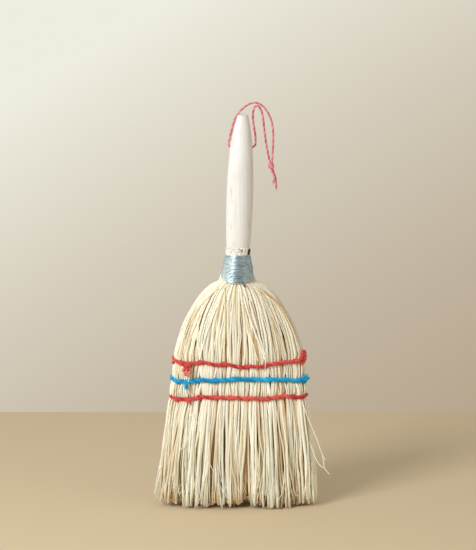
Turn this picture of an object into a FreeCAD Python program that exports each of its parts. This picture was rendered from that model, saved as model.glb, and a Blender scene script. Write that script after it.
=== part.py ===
import FreeCAD, Part
import math
import os

import Sketcher

# A hand broom: a turned handle whose pointed shank is bound into straw with wound wire, the
# straw spread flat and sewn with three rows of twine, and a cord loop through the handle.
# Lengths are in mm. +X is the photograph's right, -Y faces the camera, +Z is up, and the
# origin is the middle of the sweeping edge.

V = FreeCAD.Vector
FRONT = -1
BACK = 1
FULL_TURN = 360
QUARTER = 90

SIZES = [
    # The head, with heights from the sweeping edge
    ("sweep_width", 155.4, "width of the head at the sweeping edge"),
    ("sweep_depth", 42.0, "front to back at the sweeping edge"),
    ("lower_row_width", 135.2, "width of the straw at the lowest row of sewing"),
    ("upper_row_width", 129.0, "width of the straw at the highest row of sewing"),
    ("sewn_depth", 31.0, "front to back at the rows of sewing"),
    ("end_round_share", 0.6, "radius of the head's round ends, of half its depth"),
    ("end_inset", 0.9, "flat on the outermost strands"),
    ("lower_row_height", 106.0, "height of the lowest row of sewing"),
    ("row_pitch", 16.4, "from one row of sewing to the next"),
    ("row_bulge", 1.0, "how far the straw swells between two rows"),
    ("shoulder_bulge", 3.0, "how far the straw swells front and back at the shoulders"),
    ("shoulder_power_share", 0.46, "how fast the straw spreads under the wire"),
    ("shoulder_turn_power", 1.5, "how softly the shoulders turn down to the sewing"),
    ("spread_drop", 1.2, "from the wire's lower edge to where the straw starts to spread"),
    ("shoulder_start_share", 0.012, "softens the bend under the wire"),
    ("flare_power", 1.9, "how the straw flares below the sewing"),
    ("strand_gap", 0.3, "between neighbouring strands"),
    ("tip_scatter", 2.4, "how unevenly the covers are trimmed at the sweeping edge"),
    ("stub_scatter", 2.6, "how unevenly the stubs are trimmed above the wire"),
    ("edge_break_share", 0.26, "chamfer of a cover strand, of its width"),
    # The wire round the neck
    ("binding_bottom", 219.0, "height of the wire's lower edge"),
    ("binding_height", 25.0, "length of the wound neck"),
    ("wire_diameter", 1.15, "galvanised binding wire"),
    ("wire_seat", 0.2, "room between wire and straw"),
    ("neck_top_radius", 11.2, "straw under the highest turn"),
    ("neck_bottom_radius", 14.5, "straw under the lowest turn"),
    ("collar_height", 6.4, "stubs of straw above the wire"),
    ("collar_flare", 0.8, "how far the stubs stand out at their ends"),
    ("nail_diameter", 1.0, "shank of a nail that ends the wire"),
    ("nail_head_diameter", 2.2, "head of that nail"),
    ("nail_head_thickness", 0.6, "head of that nail"),
    ("nail_point_depth", 0.8, "from the handle's axis to the nail's point"),
    ("nail_fit", 0.05, "room round a nail in the wood"),
    # The handle, with heights from the middle of the binding
    ("handle_lean", 1.78, "degrees that the handle leans to the right"),
    ("handle_top", 146.5, "height of the handle's flat top"),
    ("top_radius", 5.7, "at the flat top"),
    ("top_round", 1.0, "rounded rim of the flat top"),
    ("hole_height", 114.5, "height of the hanging hole"),
    ("hole_level_radius", 10.75, "radius of the handle at the hanging hole"),
    ("hole_diameter", 3.4, "hanging hole"),
    ("belly_height", 67.5, "where the handle is thickest"),
    ("belly_radius", 12.7, "where the handle is thickest"),
    ("grip_end_radius", 11.4, "at the foot of the grip"),
    ("seat_length", 10.0, "taper under the stubs of straw"),
    ("shank_radius", 8.6, "shank at the top of the binding"),
    ("shank_depth", 51.0, "from the middle of the binding down to the shank's end"),
    ("shank_tip_radius", 2.5, "blunt end of the shank"),
    ("shank_seat", 0.45, "room between shank and straw"),
    # The twine and its knots
    ("twine_diameter", 1.4, "sewing twine"),
    ("twine_seat", 0.3, "room round the twine"),
    ("stitch_bend", 1.6, "radius of a stitch where it turns into the straw"),
    ("knot_radius", 1.9, "a sewing knot"),
    ("knot_length", 4.8, "a sewing knot, along the row"),
    ("knot_waist_share", 0.74, "radius between a knot's wraps, of its own radius"),
    ("tie_gap", 0.1, "between a knot and the twine or cord that it ties"),
    ("upper_tail", 10.5, "free ends under the upper knot"),
    ("middle_tail", 6.5, "free ends under the middle knot"),
    ("lower_tail", 4.5, "free ends under the lower knot"),
    ("tail_spread", 2.1, "between a knot's two free ends"),
    # The hanging cord
    ("cord_diameter", 1.9, "hanging cord"),
    ("mouth_bend", 2.2, "radius of the cord's bend at a mouth of the hole"),
    ("cord_knot_radius", 2.5, "knot of the hanging cord"),
    ("cord_knot_length", 4.4, "knot of the hanging cord"),
]

# Counts that belong to the design
COVER_COLUMNS = 32  # strands across one cover
INNER_COLUMNS = 16  # strands across one inner layer
SHOULDER_COLUMNS = 8  # cover strands at each side that make a shoulder
WIRE_TURNS = 15
KNOT_WRAPS = 3
KNOT_BOUNDARY = 4  # the cover boundary, from the left, that the knots stand at
STITCH_STEP = 2  # cover columns from one stitch to the next
NAIL_PUSH_STEPS = 5  # boundaries on each side that make room for a nail
EVEN_SHARE = 0.618034  # spreads uneven ends without a pattern
ARC_RUN_SHARE = 0.45  # of the shorter run, taken by a bend of the cord
HALF_SHARE = 0.5
STITCH_ROOM = 1.85  # times the room a stitch needs, as a strand's edge rounds it off
EDGE_DEGREE = 2  # of a strand's edges
SAME_WAY = 1  # both edges of a ruled face run the same way

doc = FreeCAD.newDocument("hand_broom")
sheet = doc.addObject("Spreadsheet::Sheet", "sizes")
for row, (alias, number, note) in enumerate(SIZES, 1):
    sheet.set(f"A{row}", note)
    sheet.set(f"B{row}", str(number))
    sheet.setAlias(f"B{row}", alias)
doc.recompute()


def size(alias):
    """A driving dimension, as the sheet holds it."""
    return float(sheet.get(alias))


# Heights that follow from the sheet

binding_top = size("binding_bottom") + size("binding_height")
binding_middle = size("binding_bottom") + size("binding_height") / 2
collar_top = binding_top + size("collar_height")
shank_end = binding_middle - size("shank_depth")
row_heights = {
    "lower": size("lower_row_height"),
    "middle": size("lower_row_height") + size("row_pitch"),
    "upper": size("lower_row_height") + size("row_pitch") * 2,
}
wire_radius = size("wire_diameter") / 2
twine_radius = size("twine_diameter") / 2
cord_radius = size("cord_diameter") / 2
lean = math.radians(size("handle_lean"))
nail_heights = [size("binding_bottom") + wire_radius, binding_top - wire_radius]


def lean_x(z):
    """How far the leaning handle's axis stands to the right at a height."""
    return (z - binding_middle) * math.tan(lean)


def tube(path, radius):
    """A round tube along a wire."""
    start = path.OrderedEdges[0]
    point = start.valueAt(start.FirstParameter)
    along = start.tangentAt(start.FirstParameter)
    ring = Part.Wire(Part.makeCircle(radius, point, along))
    shell = Part.BRepOffsetAPI.MakePipeShell(path)
    shell.add(ring)
    shell.build()
    shell.makeSolid()
    return shell.shape()


def bent_wire(points, radii):
    """Straight runs joined by tangent arcs, one radius for each inner point."""
    edges = []
    begin = points[0]
    for before, corner, after, radius in zip(points, points[1:], points[2:], radii):
        back = (before - corner).normalize()
        onward = (after - corner).normalize()
        half_turn = (math.pi - back.getAngle(onward)) / 2
        reach = radius * math.tan(half_turn)
        enter = corner + back * reach
        leave = corner + onward * reach
        inward = (back + onward).normalize()
        middle = corner + inward * (radius / math.cos(half_turn) - radius)
        edges.append(Part.LineSegment(begin, enter).toShape())
        edges.append(Part.Arc(enter, middle, leave).toShape())
        begin = leave
    edges.append(Part.LineSegment(begin, points[-1]).toShape())
    return Part.Wire(edges)


def least_gap(points, radius, apart):
    """The least room between stretches of a tube that are at least a length apart along it."""
    least = math.inf
    travelled = [0]
    for a, b in zip(points, points[1:]):
        travelled.append(travelled[-1] + a.distanceToPoint(b))
    for i, a in enumerate(points):
        for j in range(i + 1, len(points)):
            if travelled[j] - travelled[i] > apart:
                least = min(least, a.distanceToPoint(points[j]))
    return least - radius * 2


# The handle


def sketch_on(body, role, name):
    """A new sketch on one of the body's own origin planes."""
    sketch = body.newObject("Sketcher::SketchObject", name)
    plane = [f for f in body.Origin.OriginFeatures if f.Role == role][0]
    sketch.AttachmentSupport = [(plane, "")]
    sketch.MapMode = "FlatFace"
    return sketch


def bind(sketch, kind, places, expression):
    """Adds a dimension to a sketch and binds it to the sheet."""
    number = abs(float(doc.sizes.evalExpression(expression.replace("sizes.", ""))))
    index = sketch.addConstraint(Sketcher.Constraint(kind, *places, number))
    sketch.setExpression(f"Constraints[{index}]", expression)


def make_handle():
    body = doc.addObject("PartDesign::Body", "handle")
    body.Placement = FreeCAD.Placement(
        V(0, 0, binding_middle), FreeCAD.Rotation(V(0, 1, 0), size("handle_lean"))
    )
    body.setExpression(
        "Placement.Base.z", "sizes.binding_bottom + sizes.binding_height / 2"
    )
    body.setExpression("Placement.Rotation.Angle", "sizes.handle_lean * 1 deg")

    profile = sketch_on(body, "XZ_Plane", "handle_profile")
    neck = size("binding_height") / 2
    top = size("handle_top")
    rim = size("top_round")
    corners = [
        V(0, -size("shank_depth"), 0),
        V(size("shank_tip_radius"), -size("shank_depth"), 0),
        V(size("shank_radius"), neck, 0),
        V(size("grip_end_radius"), neck + size("seat_length"), 0),
        V(size("belly_radius"), size("belly_height"), 0),
        V(size("hole_level_radius"), size("hole_height"), 0),
        V(size("top_radius"), top - rim, 0),
        V(size("top_radius") - rim, top, 0),
        V(0, top, 0),
    ]

    def level_arc(a, b, level):
        """The arc from a to b whose centre is at the height of level."""
        other = b if level is a else a
        rise = other.y - level.y
        run = level.x - other.x
        radius = (rise * rise + run * run) / (run * 2)
        centre = V(level.x - radius, level.y, 0)
        circle = Part.Circle(centre, V(0, 0, 1), radius)
        low = math.atan2(a.y - centre.y, a.x - centre.x)
        high = math.atan2(b.y - centre.y, b.x - centre.x)
        return Part.ArcOfCircle(circle, low, high), centre

    tip_axis, tip, shank, seat, belly, hole, crown, edge, top_axis = corners
    lower_arc, lower_centre = level_arc(seat, belly, belly)
    upper_arc, upper_centre = level_arc(belly, hole, belly)
    # The crown's arc leaves the hole's level in the direction of the arc below it
    out = (hole - upper_centre).normalize()
    chord = crown - hole
    crown_radius = -chord.dot(chord) / (chord.dot(out) * 2)
    crown_centre = hole - out * crown_radius
    crown_circle = Part.Circle(crown_centre, V(0, 0, 1), crown_radius)
    crown_arc = Part.ArcOfCircle(
        crown_circle,
        math.atan2(hole.y - crown_centre.y, hole.x - crown_centre.x),
        math.atan2(crown.y - crown_centre.y, crown.x - crown_centre.x),
    )
    rim_circle = Part.Circle(V(edge.x, crown.y, 0), V(0, 0, 1), rim)
    rim_arc = Part.ArcOfCircle(rim_circle, 0, math.radians(QUARTER))
    outline = [
        Part.LineSegment(tip_axis, tip),
        Part.LineSegment(tip, shank),
        Part.LineSegment(shank, seat),
        lower_arc,
        upper_arc,
        crown_arc,
        rim_arc,
        Part.LineSegment(edge, top_axis),
        Part.LineSegment(top_axis, tip_axis),
    ]
    profile.addGeometry(outline, False)
    end, lower_id, upper_id, crown_id, rim_id = 2, 3, 4, 5, 6
    for i in range(len(outline)):
        following = (i + 1) % len(outline)
        if i == upper_id:
            profile.addConstraint(
                Sketcher.Constraint("Tangent", i, end, following, 1)
            )
        else:
            profile.addConstraint(
                Sketcher.Constraint("Coincident", i, end, following, 1)
            )
    profile.addConstraint(Sketcher.Constraint("PointOnObject", 0, 1, -2))
    profile.addConstraint(Sketcher.Constraint("PointOnObject", 7, end, -2))
    profile.addConstraint(Sketcher.Constraint("Horizontal", 0))
    profile.addConstraint(Sketcher.Constraint("Horizontal", 7))
    profile.addConstraint(Sketcher.Constraint("Horizontal", lower_id, 3, lower_id, 2))
    profile.addConstraint(Sketcher.Constraint("Horizontal", upper_id, 3, upper_id, 1))
    profile.addConstraint(Sketcher.Constraint("Horizontal", rim_id, 3, rim_id, 1))
    profile.addConstraint(Sketcher.Constraint("Vertical", rim_id, 3, rim_id, 2))
    neck_name = "sizes.binding_height / 2"
    radii = [
        (0, "sizes.shank_tip_radius"),
        (1, "sizes.shank_radius"),
        (2, "sizes.grip_end_radius"),
        (lower_id, "sizes.belly_radius"),
        (upper_id, "sizes.hole_level_radius"),
        (crown_id, "sizes.top_radius"),
    ]
    for i, expression in radii:
        bind(profile, "DistanceX", (-1, 1, i, end), expression)
    heights = [
        (1, neck_name),
        (2, neck_name + " + sizes.seat_length"),
        (lower_id, "sizes.belly_height"),
        (upper_id, "sizes.hole_height"),
        (rim_id, "sizes.handle_top"),
    ]
    for i, expression in heights:
        bind(profile, "DistanceY", (-1, 1, i, end), expression)
    bind(profile, "DistanceY", (0, end, -1, 1), "sizes.shank_depth")
    bind(profile, "Radius", (rim_id,), "sizes.top_round")
    turned = body.newObject("PartDesign::Revolution", "handle_turned")
    turned.Profile = profile
    turned.ReferenceAxis = (profile, ["V_Axis"])
    turned.Angle = FULL_TURN
    profile.Visibility = False
    doc.recompute()
    solid_volume = turned.Shape.Volume

    mouth = sketch_on(body, "YZ_Plane", "hanging_hole_circle")
    mouth.addGeometry(
        Part.Circle(V(0, size("hole_height"), 0), V(0, 0, 1), size("hole_diameter") / 2)
    )
    mouth.addConstraint(Sketcher.Constraint("PointOnObject", 0, 3, -2))
    bind(mouth, "DistanceY", (-1, 1, 0, 3), "sizes.hole_height")
    bind(mouth, "Diameter", (0,), "sizes.hole_diameter")
    hole_cut = body.newObject("PartDesign::Pocket", "hanging_hole")
    hole_cut.Profile = mouth
    hole_cut.Type = "ThroughAll"
    hole_cut.Midplane = True
    doc.recompute()
    drilled_volume = hole_cut.Shape.Volume

    pilots = sketch_on(body, "XZ_Plane", "nail_circles")
    pilot_radius = size("nail_diameter") / 2 + size("nail_fit")
    reach = size("binding_height") / 2 - wire_radius
    offset = "(sizes.binding_height - sizes.wire_diameter) / 2"
    for i, height in enumerate((-reach, reach)):
        pilots.addGeometry(Part.Circle(V(0, height, 0), V(0, 0, 1), pilot_radius))
        pilots.addConstraint(Sketcher.Constraint("PointOnObject", i, 3, -2))
        bind(pilots, "Diameter", (i,), "sizes.nail_diameter + sizes.nail_fit * 2")
    bind(pilots, "DistanceY", (0, 3, -1, 1), offset)
    bind(pilots, "DistanceY", (-1, 1, 1, 3), offset)
    nailed = body.newObject("PartDesign::Pocket", "nail_holes")
    nailed.Profile = pilots
    nailed.Type = "Length"
    nailed.Length = size("grip_end_radius")
    nailed.setExpression("Length", "sizes.grip_end_radius")
    doc.recompute()
    if nailed.Shape.BoundBox.YMax > 0 and not nail_side_is_open(nailed.Shape):
        nailed.Reversed = True
        doc.recompute()
    nailed_volume = nailed.Shape.Volume
    print("handle volumes", solid_volume, drilled_volume, nailed_volume)
    if not solid_volume > drilled_volume > nailed_volume:
        raise ValueError("a hole in the handle has cut nothing")
    return body


def nail_side_is_open(shape):
    """Whether the nail holes open to the back, where the nails are."""
    height = size("binding_height") / 2 - wire_radius
    probe = V(0, size("nail_point_depth") * 2, height)
    return not shape.isInside(probe, size("nail_fit") / 2, False)


# The straw


def shank_radius_at(z):
    """The handle's radius inside the straw."""
    if z >= binding_top:
        share = min(1, (z - binding_top) / size("seat_length"))
        return size("shank_radius") + share * (
            size("grip_end_radius") - size("shank_radius")
        )
    share = max(0, (z - shank_end) / (binding_top - shank_end))
    return size("shank_tip_radius") + share * (
        size("shank_radius") - size("shank_tip_radius")
    )


def neck_radius_at(z):
    """The radius of the bound straw."""
    if z > binding_top:
        share = (z - binding_top) / size("collar_height")
        return size("neck_top_radius") + share * size("collar_flare")
    share = min(1, (binding_top - z) / size("binding_height"))
    swell = math.sin(share * math.pi / 2)
    return size("neck_top_radius") + swell * (
        size("neck_bottom_radius") - size("neck_top_radius")
    )


def spread_at(z):
    """From 0, round as the neck, to 1, flat as the sewn head."""
    start_height = size("binding_bottom") - size("spread_drop")
    share = (start_height - z) / (start_height - row_heights["upper"])
    share = 1 - (1 - min(1, max(0, share))) ** size("shoulder_turn_power")
    power = size("shoulder_power_share")
    start = size("shoulder_start_share")
    low = start**power
    return ((share + start) ** power - low) / ((1 + start) ** power - low)


def head_half_sizes(z):
    """Half the width and half the depth of the flat head."""
    lower = row_heights["lower"]
    upper = row_heights["upper"]
    half_depth = size("sewn_depth") / 2
    half_lower = size("lower_row_width") / 2
    if z >= lower:
        share = min(1, (z - lower) / (upper - lower))
        half_width = half_lower + share * (size("upper_row_width") / 2 - half_lower)
        between = math.sin((z - lower) / size("row_pitch") * math.pi) ** 2
        if z > upper:
            spread = spread_at(z)
            return half_width, half_depth + size("shoulder_bulge") * (1 - spread)
        return half_width, half_depth + size("row_bulge") * between
    flare = 1 - (max(0, z) / lower) ** size("flare_power")
    half_width = half_lower + flare * (size("sweep_width") / 2 - half_lower)
    return half_width, half_depth + flare * (size("sweep_depth") / 2 - half_depth)


def oval(z, room=0):
    """The four-arc outline of the flat head: half width and depth, end radius and its centre,
    front radius and its centre."""
    half_width, half_depth = head_half_sizes(z)
    end = size("end_round_share") * half_depth
    end_x = half_width - end
    rest = half_depth - end
    behind = (end_x * end_x - rest * rest) / (rest * 2)
    return half_width + room, end + room, end_x, half_depth + behind + room, behind


def oval_depth(x, z, room=0):
    """Half the depth of the outline at a distance from the middle."""
    half_width, end, end_x, front, behind = oval(z, room)
    tangent_x = front * end_x / (front - end)
    if abs(x) <= tangent_x:
        return math.sqrt(front * front - x * x) - behind
    beyond = min(end, abs(x) - end_x)
    return math.sqrt(end * end - beyond * beyond)


def core_depth_at(z):
    """Half the depth of the room that the shank takes between front and back straw."""
    if z >= shank_end:
        return shank_radius_at(z) + size("shank_seat")
    closing = size("shank_depth") / 2
    full = size("shank_tip_radius") + size("shank_seat")
    return full * max(0, 1 - (shank_end - z) / closing)


def straw_point(across, layer, side, z):
    """Where a place in the straw is at a height. across runs from -1 at the left to 1,
    layer from 0 inside to 1 outside, and side is FRONT or BACK."""
    angle = math.pi * (1 + across) / 2
    inner = shank_radius_at(z) + size("shank_seat")
    radius = inner + layer * (neck_radius_at(z) - inner)
    neck = V(lean_x(z) - radius * math.cos(angle), side * radius * math.sin(angle), z)
    half_width, half_depth = head_half_sizes(z)
    x = across * (half_width - size("end_inset"))
    outer_y = oval_depth(x, z)
    inner_y = min(core_depth_at(z) * (1 - across * across), outer_y * HALF_SHARE)
    head = V(x, side * (inner_y + layer * (outer_y - inner_y)), z)
    spread = spread_at(z)
    return neck * (1 - spread) + head * spread


def straw_stations(top, bottom):
    """The heights that a strand's edges are drawn through."""
    rows = [row_heights[name] for name in ("upper", "middle", "lower")]
    bound = size("binding_bottom")
    thirds = [binding_top - size("binding_height") * i / 3 for i in range(4)]
    spread_start = bound - size("spread_drop")
    drop = spread_start - rows[0]
    shoulder_shares = (0, 0.04, 0.1, 0.19, 0.32, 0.5, 0.7, 0.84)
    shoulder = [spread_start - drop * share for share in shoulder_shares]
    half_pitch = size("row_pitch") / 2
    sewn = [rows[0] - half_pitch * i for i in range(-1, 6)]
    free_shares = (0.8, 0.55, 0.27)
    free = [rows[2] * share for share in free_shares]
    inside = [z for z in thirds + shoulder + sewn + free if bottom < z < top]
    return [top] + inside + [bottom]


def room_at(boundary, columns, side, z):
    """Half the room that is kept at a boundary between two columns, and how far both of its
    strands are pushed to the right."""
    half = size("strand_gap") / 2
    step = columns // INNER_COLUMNS
    stitched = boundary % step == 0 and 0 < boundary < columns
    sewn = any(abs(z - height) < size("strand_gap") for height in row_heights.values())
    if stitched and sewn:
        half = (twine_radius + size("twine_seat")) * STITCH_ROOM
    push = 0
    ends = (size("binding_bottom"), binding_top)
    at_nail = any(abs(z - height) < size("strand_gap") for height in ends)
    if side == BACK and at_nail:
        wanted = size("nail_diameter") / 2 + size("strand_gap")
        off = boundary - columns // 2
        reach = NAIL_PUSH_STEPS * step // 2 + 1
        if off == 0:
            half = wanted
        elif abs(off) < reach:
            push = math.copysign(wanted * (1 - abs(off) / reach), off)
    return half, push


def strand_section(column, columns, layers, side, z, broken):
    """The corners of a strand at a height: a quadrilateral, or one with its outer edges broken."""
    left = column * 2 / columns - 1
    right = (column + 1) * 2 / columns - 1
    low, high = layers
    gap = size("strand_gap") / 2
    left_half, left_push = room_at(column, columns, side, z)
    right_half, right_push = room_at(column + 1, columns, side, z)
    rings = []
    for layer in (low, high):
        a = straw_point(left, layer, side, z)
        b = straw_point(right, layer, side, z)
        along = (b - a).normalize()
        rings.append(
            (a + along * (left_half + left_push), b - along * (right_half - right_push))
        )
    (in_left, in_right), (out_left, out_right) = rings
    up_left = (out_left - in_left).normalize() * gap
    up_right = (out_right - in_right).normalize() * gap
    in_left, in_right = in_left + up_left, in_right + up_right
    if high < 1:
        out_left, out_right = out_left - up_left, out_right - up_right
    if not broken:
        return [in_left, in_right, out_right, out_left]
    edge = size("edge_break_share")
    width = (out_right - out_left) * edge
    fall = width.Length
    deep_left = out_left - up_left.normalize() * min(
        fall, out_left.distanceToPoint(in_left) * edge
    )
    deep_right = out_right - up_right.normalize() * min(
        fall, out_right.distanceToPoint(in_right) * edge
    )
    return [in_left, in_right, deep_right, out_right - width, out_left + width, deep_left]


def strand(column, columns, layers, side, top, bottom, broken):
    """One strand of straw: smooth edges through its sections, ruled faces, flat ends."""
    heights = straw_stations(top, bottom)
    sections = []
    for z in heights:
        span = layers
        if broken and z > binding_top:
            span = (0, 1)
        sections.append(strand_section(column, columns, span, side, z, broken))
    # Each edge is drawn by its corners as poles, which keeps it between them
    knots = list(range(len(heights) - EDGE_DEGREE + 1))
    mults = [EDGE_DEGREE + 1] + [1] * (len(knots) - 2) + [EDGE_DEGREE + 1]
    edges = []
    for corner in zip(*sections):
        curve = Part.BSplineCurve()
        curve.buildFromPolesMultsKnots(list(corner), mults, knots, False, EDGE_DEGREE)
        edges.append(curve.toShape())
    faces = []
    for a, b in zip(edges, edges[1:] + edges[:1]):
        faces.append(Part.makeRuledSurface(a, b, SAME_WAY))
    for section in (sections[0], sections[-1]):
        faces.append(Part.Face(Part.makePolygon(section + section[:1])))
    shell = Part.makeCompound(faces)
    shell.sewShape()
    solid = Part.Solid(shell.Shells[0] if shell.Shells else Part.Shell(shell.Faces))
    if solid.Volume < 0:
        solid.reverse()
    return solid


def uneven(number):
    """A share from 0 to 1 that looks unordered from one number to the next."""
    return (number * EVEN_SHARE) % 1


def make_straw():
    """The six bundles of straw, as lists of strands."""
    bundles = {
        "left_shoulder_straw": [],
        "right_shoulder_straw": [],
        "front_cover_straw": [],
        "back_cover_straw": [],
        "front_inner_straw": [],
        "back_inner_straw": [],
    }
    last = COVER_COLUMNS - SHOULDER_COLUMNS
    for side, name in ((FRONT, "front"), (BACK, "back")):
        for column in range(COVER_COLUMNS):
            number = column * 2 + (side == BACK)
            mirrored = min(column, COVER_COLUMNS - 1 - column)
            top = collar_top - size("stub_scatter") * uneven(number)
            bottom = size("tip_scatter") * uneven(mirrored)
            cover = strand(
                column, COVER_COLUMNS, (HALF_SHARE, 1), side, top, bottom, True
            )
            if column < SHOULDER_COLUMNS:
                bundles["left_shoulder_straw"].append(cover)
            elif column >= last:
                bundles["right_shoulder_straw"].append(cover)
            else:
                bundles[f"{name}_cover_straw"].append(cover)
        for column in range(INNER_COLUMNS):
            bottom = 0
            if column % 3 == 2:
                bottom = size("tip_scatter") * uneven(column) / 2
            inner = strand(
                column, INNER_COLUMNS, (0, HALF_SHARE), side, binding_top, bottom, False
            )
            bundles[f"{name}_inner_straw"].append(inner)
    return bundles


# The wire


def wire_place(turns):
    """A point of the wire's middle line and its direction, by turns from its lower end."""
    angle = math.radians(QUARTER) + turns * math.pi * 2
    rise = size("binding_height") - size("wire_diameter")
    z = nail_heights[0] + rise * turns / WIRE_TURNS
    radius = neck_radius_at(z) + size("wire_seat") + wire_radius
    return V(lean_x(z) + radius * math.cos(angle), radius * math.sin(angle), z)


def wire_direction(turns):
    step = HALF_SHARE / FULL_TURN
    return (wire_place(turns + step) - wire_place(turns - step)).normalize()


def biarc(a, a_way, b, b_way):
    """Two arcs that leave a point in its direction and reach the next one in its own."""
    gap = b - a
    both = a_way + b_way
    square = 2 * (1 - a_way.dot(b_way))
    lean_in = gap.dot(both)
    root = math.sqrt(lean_in * lean_in + square * gap.dot(gap))
    reach = (root - lean_in) / square
    joint = (a + a_way * reach + b - b_way * reach) * HALF_SHARE
    arcs = []
    for start, way, finish in ((a, a_way, joint), (b, b_way * -1, joint)):
        chord = finish - start
        normal = chord.cross(way).cross(chord).normalize()
        half = way.getAngle(chord)
        bulge = chord.Length / 2 * math.tan(half / 2)
        arcs.append((start, (start + finish) * HALF_SHARE + normal * bulge, finish))
    first, second = arcs
    return [
        Part.Arc(*first).toShape(),
        Part.Arc(second[2], second[1], second[0]).toShape(),
    ]


def make_binding_wire():
    around = math.pi * 2 * (size("neck_top_radius") + size("wire_seat") + wire_radius)
    nail_room = size("nail_diameter") / 2 + size("tie_gap")
    clear = (nail_room + size("wire_diameter")) / around
    first = clear
    last = WIRE_TURNS - clear
    count = WIRE_TURNS * 4
    turns = [first + (last - first) * i / count for i in range(count + 1)]
    places = [wire_place(t) for t in turns]
    ways = [wire_direction(t) for t in turns]
    end_run = size("wire_diameter")
    edges = [Part.LineSegment(places[0] - ways[0] * end_run, places[0]).toShape()]
    for i in range(count):
        edges += biarc(places[i], ways[i], places[i + 1], ways[i + 1])
    edges.append(
        Part.LineSegment(places[-1], places[-1] + ways[-1] * end_run).toShape()
    )
    path = Part.Wire(edges)
    samples = [p for edge in path.OrderedEdges for p in edge.discretize(5)]
    gap = least_gap(samples, wire_radius, around / 2)
    print("wire turns", WIRE_TURNS, "least gap to itself", round(gap, 3))
    return tube(path, wire_radius)


def make_nails():
    """Two nails, each a shank and a head bound to the sheet, in one group."""
    nails = []
    for i, z in enumerate(nail_heights):
        turn = FreeCAD.Rotation(V(1, 0, 0), -QUARTER)
        outside = neck_radius_at(z) + size("wire_seat") + size("wire_diameter")
        under_head = outside + size("tie_gap")
        shank = doc.addObject("Part::Cylinder", f"nail_shank_{i + 1}")
        shank.setExpression("Radius", "sizes.nail_diameter / 2")
        shank.Height = under_head + size("nail_head_thickness") / 2 - size("nail_point_depth")
        shank.Placement = FreeCAD.Placement(
            V(lean_x(z), size("nail_point_depth"), z), turn
        )
        head = doc.addObject("Part::Cylinder", f"nail_head_{i + 1}")
        head.setExpression("Radius", "sizes.nail_head_diameter / 2")
        head.setExpression("Height", "sizes.nail_head_thickness")
        head.Placement = FreeCAD.Placement(V(lean_x(z), under_head, z), turn)
        nail = doc.addObject("Part::MultiFuse", f"nail_{i + 1}")
        nail.Shapes = [shank, head]
        nails.append(nail)
    group = doc.addObject("Part::Compound", "binding_nails")
    group.Links = nails
    return group


# The sewing


def row_arc(z, room, side, x_from, x_to):
    """A stretch of the outline's front or back, held off by some room."""
    middle = (x_from + x_to) / 2
    points = [V(x, side * oval_depth(x, z, room), z) for x in (x_from, middle, x_to)]
    return Part.Arc(*points).toShape()


def make_band(z, knot_x):
    """One turn of twine round the head, from one side of the knot to the other."""
    room = size("twine_seat") + twine_radius
    half_width, end, end_x, front, behind = oval(z, room)
    tangent_x = front * end_x / (front - end)
    away = size("knot_length") / 2 + size("tie_gap")
    edges = [row_arc(z, room, FRONT, knot_x + away, tangent_x)]
    depth = oval_depth(tangent_x, z, room)
    right = Part.Arc(V(tangent_x, -depth, z), V(half_width, 0, z), V(tangent_x, depth, z))
    edges.append(right.toShape())
    edges.append(row_arc(z, room, BACK, tangent_x, -tangent_x))
    left = Part.Arc(
        V(-tangent_x, depth, z), V(-half_width, 0, z), V(-tangent_x, -depth, z)
    )
    edges.append(left.toShape())
    edges.append(row_arc(z, room, FRONT, -tangent_x, knot_x - away))
    return tube(Part.Wire(edges), twine_radius)


def make_stitches(z, stitch_xs):
    """The sewing of one row: a flat coil that goes through the straw beside each strand pair,
    over the band in front, back through the straw and over the band behind."""
    beside = size("twine_diameter") + size("twine_seat")
    over = size("twine_seat") * 2 + twine_radius * 3
    points = [V(stitch_xs[0], FRONT * oval_depth(stitch_xs[0], z), z - beside)]
    side = BACK
    for i, x in enumerate(stitch_xs):
        level = z - beside if i % 2 == 0 else z + beside
        reach = oval_depth(x, z) + over
        if i > 0:
            points.append(V(x, -side * reach, level))
        if i < len(stitch_xs) - 1:
            points.append(V(x, side * reach, level))
        else:
            points.append(V(x, side * (oval_depth(x, z) + twine_radius), level))
        side = -side
    path = bent_wire(points, [size("stitch_bend")] * (len(points) - 2))
    samples = [p for edge in path.OrderedEdges for p in edge.discretize(4)]
    gap = least_gap(samples, twine_radius, size("sewn_depth") / 2)
    print("stitches", len(stitch_xs), "least gap to itself", round(gap, 3))
    return tube(path, twine_radius)


def wrapped_barrel(radius, length, centre, axis):
    """A knot's body: wraps side by side, as a turned solid."""
    waist = radius * size("knot_waist_share")
    wrap = length / KNOT_WRAPS
    edges = [Part.LineSegment(V(0, 0, -length / 2), V(waist, 0, -length / 2)).toShape()]
    for i in range(KNOT_WRAPS):
        low = i * wrap - length / 2
        arc = Part.Arc(
            V(waist, 0, low), V(radius, 0, low + wrap / 2), V(waist, 0, low + wrap)
        )
        edges.append(arc.toShape())
    edges.append(Part.LineSegment(V(waist, 0, length / 2), V(0, 0, length / 2)).toShape())
    edges.append(Part.LineSegment(V(0, 0, length / 2), V(0, 0, -length / 2)).toShape())
    face = Part.Face(Part.Wire(edges))
    solid = face.revolve(V(0, 0, 0), V(0, 0, 1), FULL_TURN)
    solid.Placement = FreeCAD.Placement(centre, FreeCAD.Rotation(V(0, 0, 1), axis))
    return solid


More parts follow.
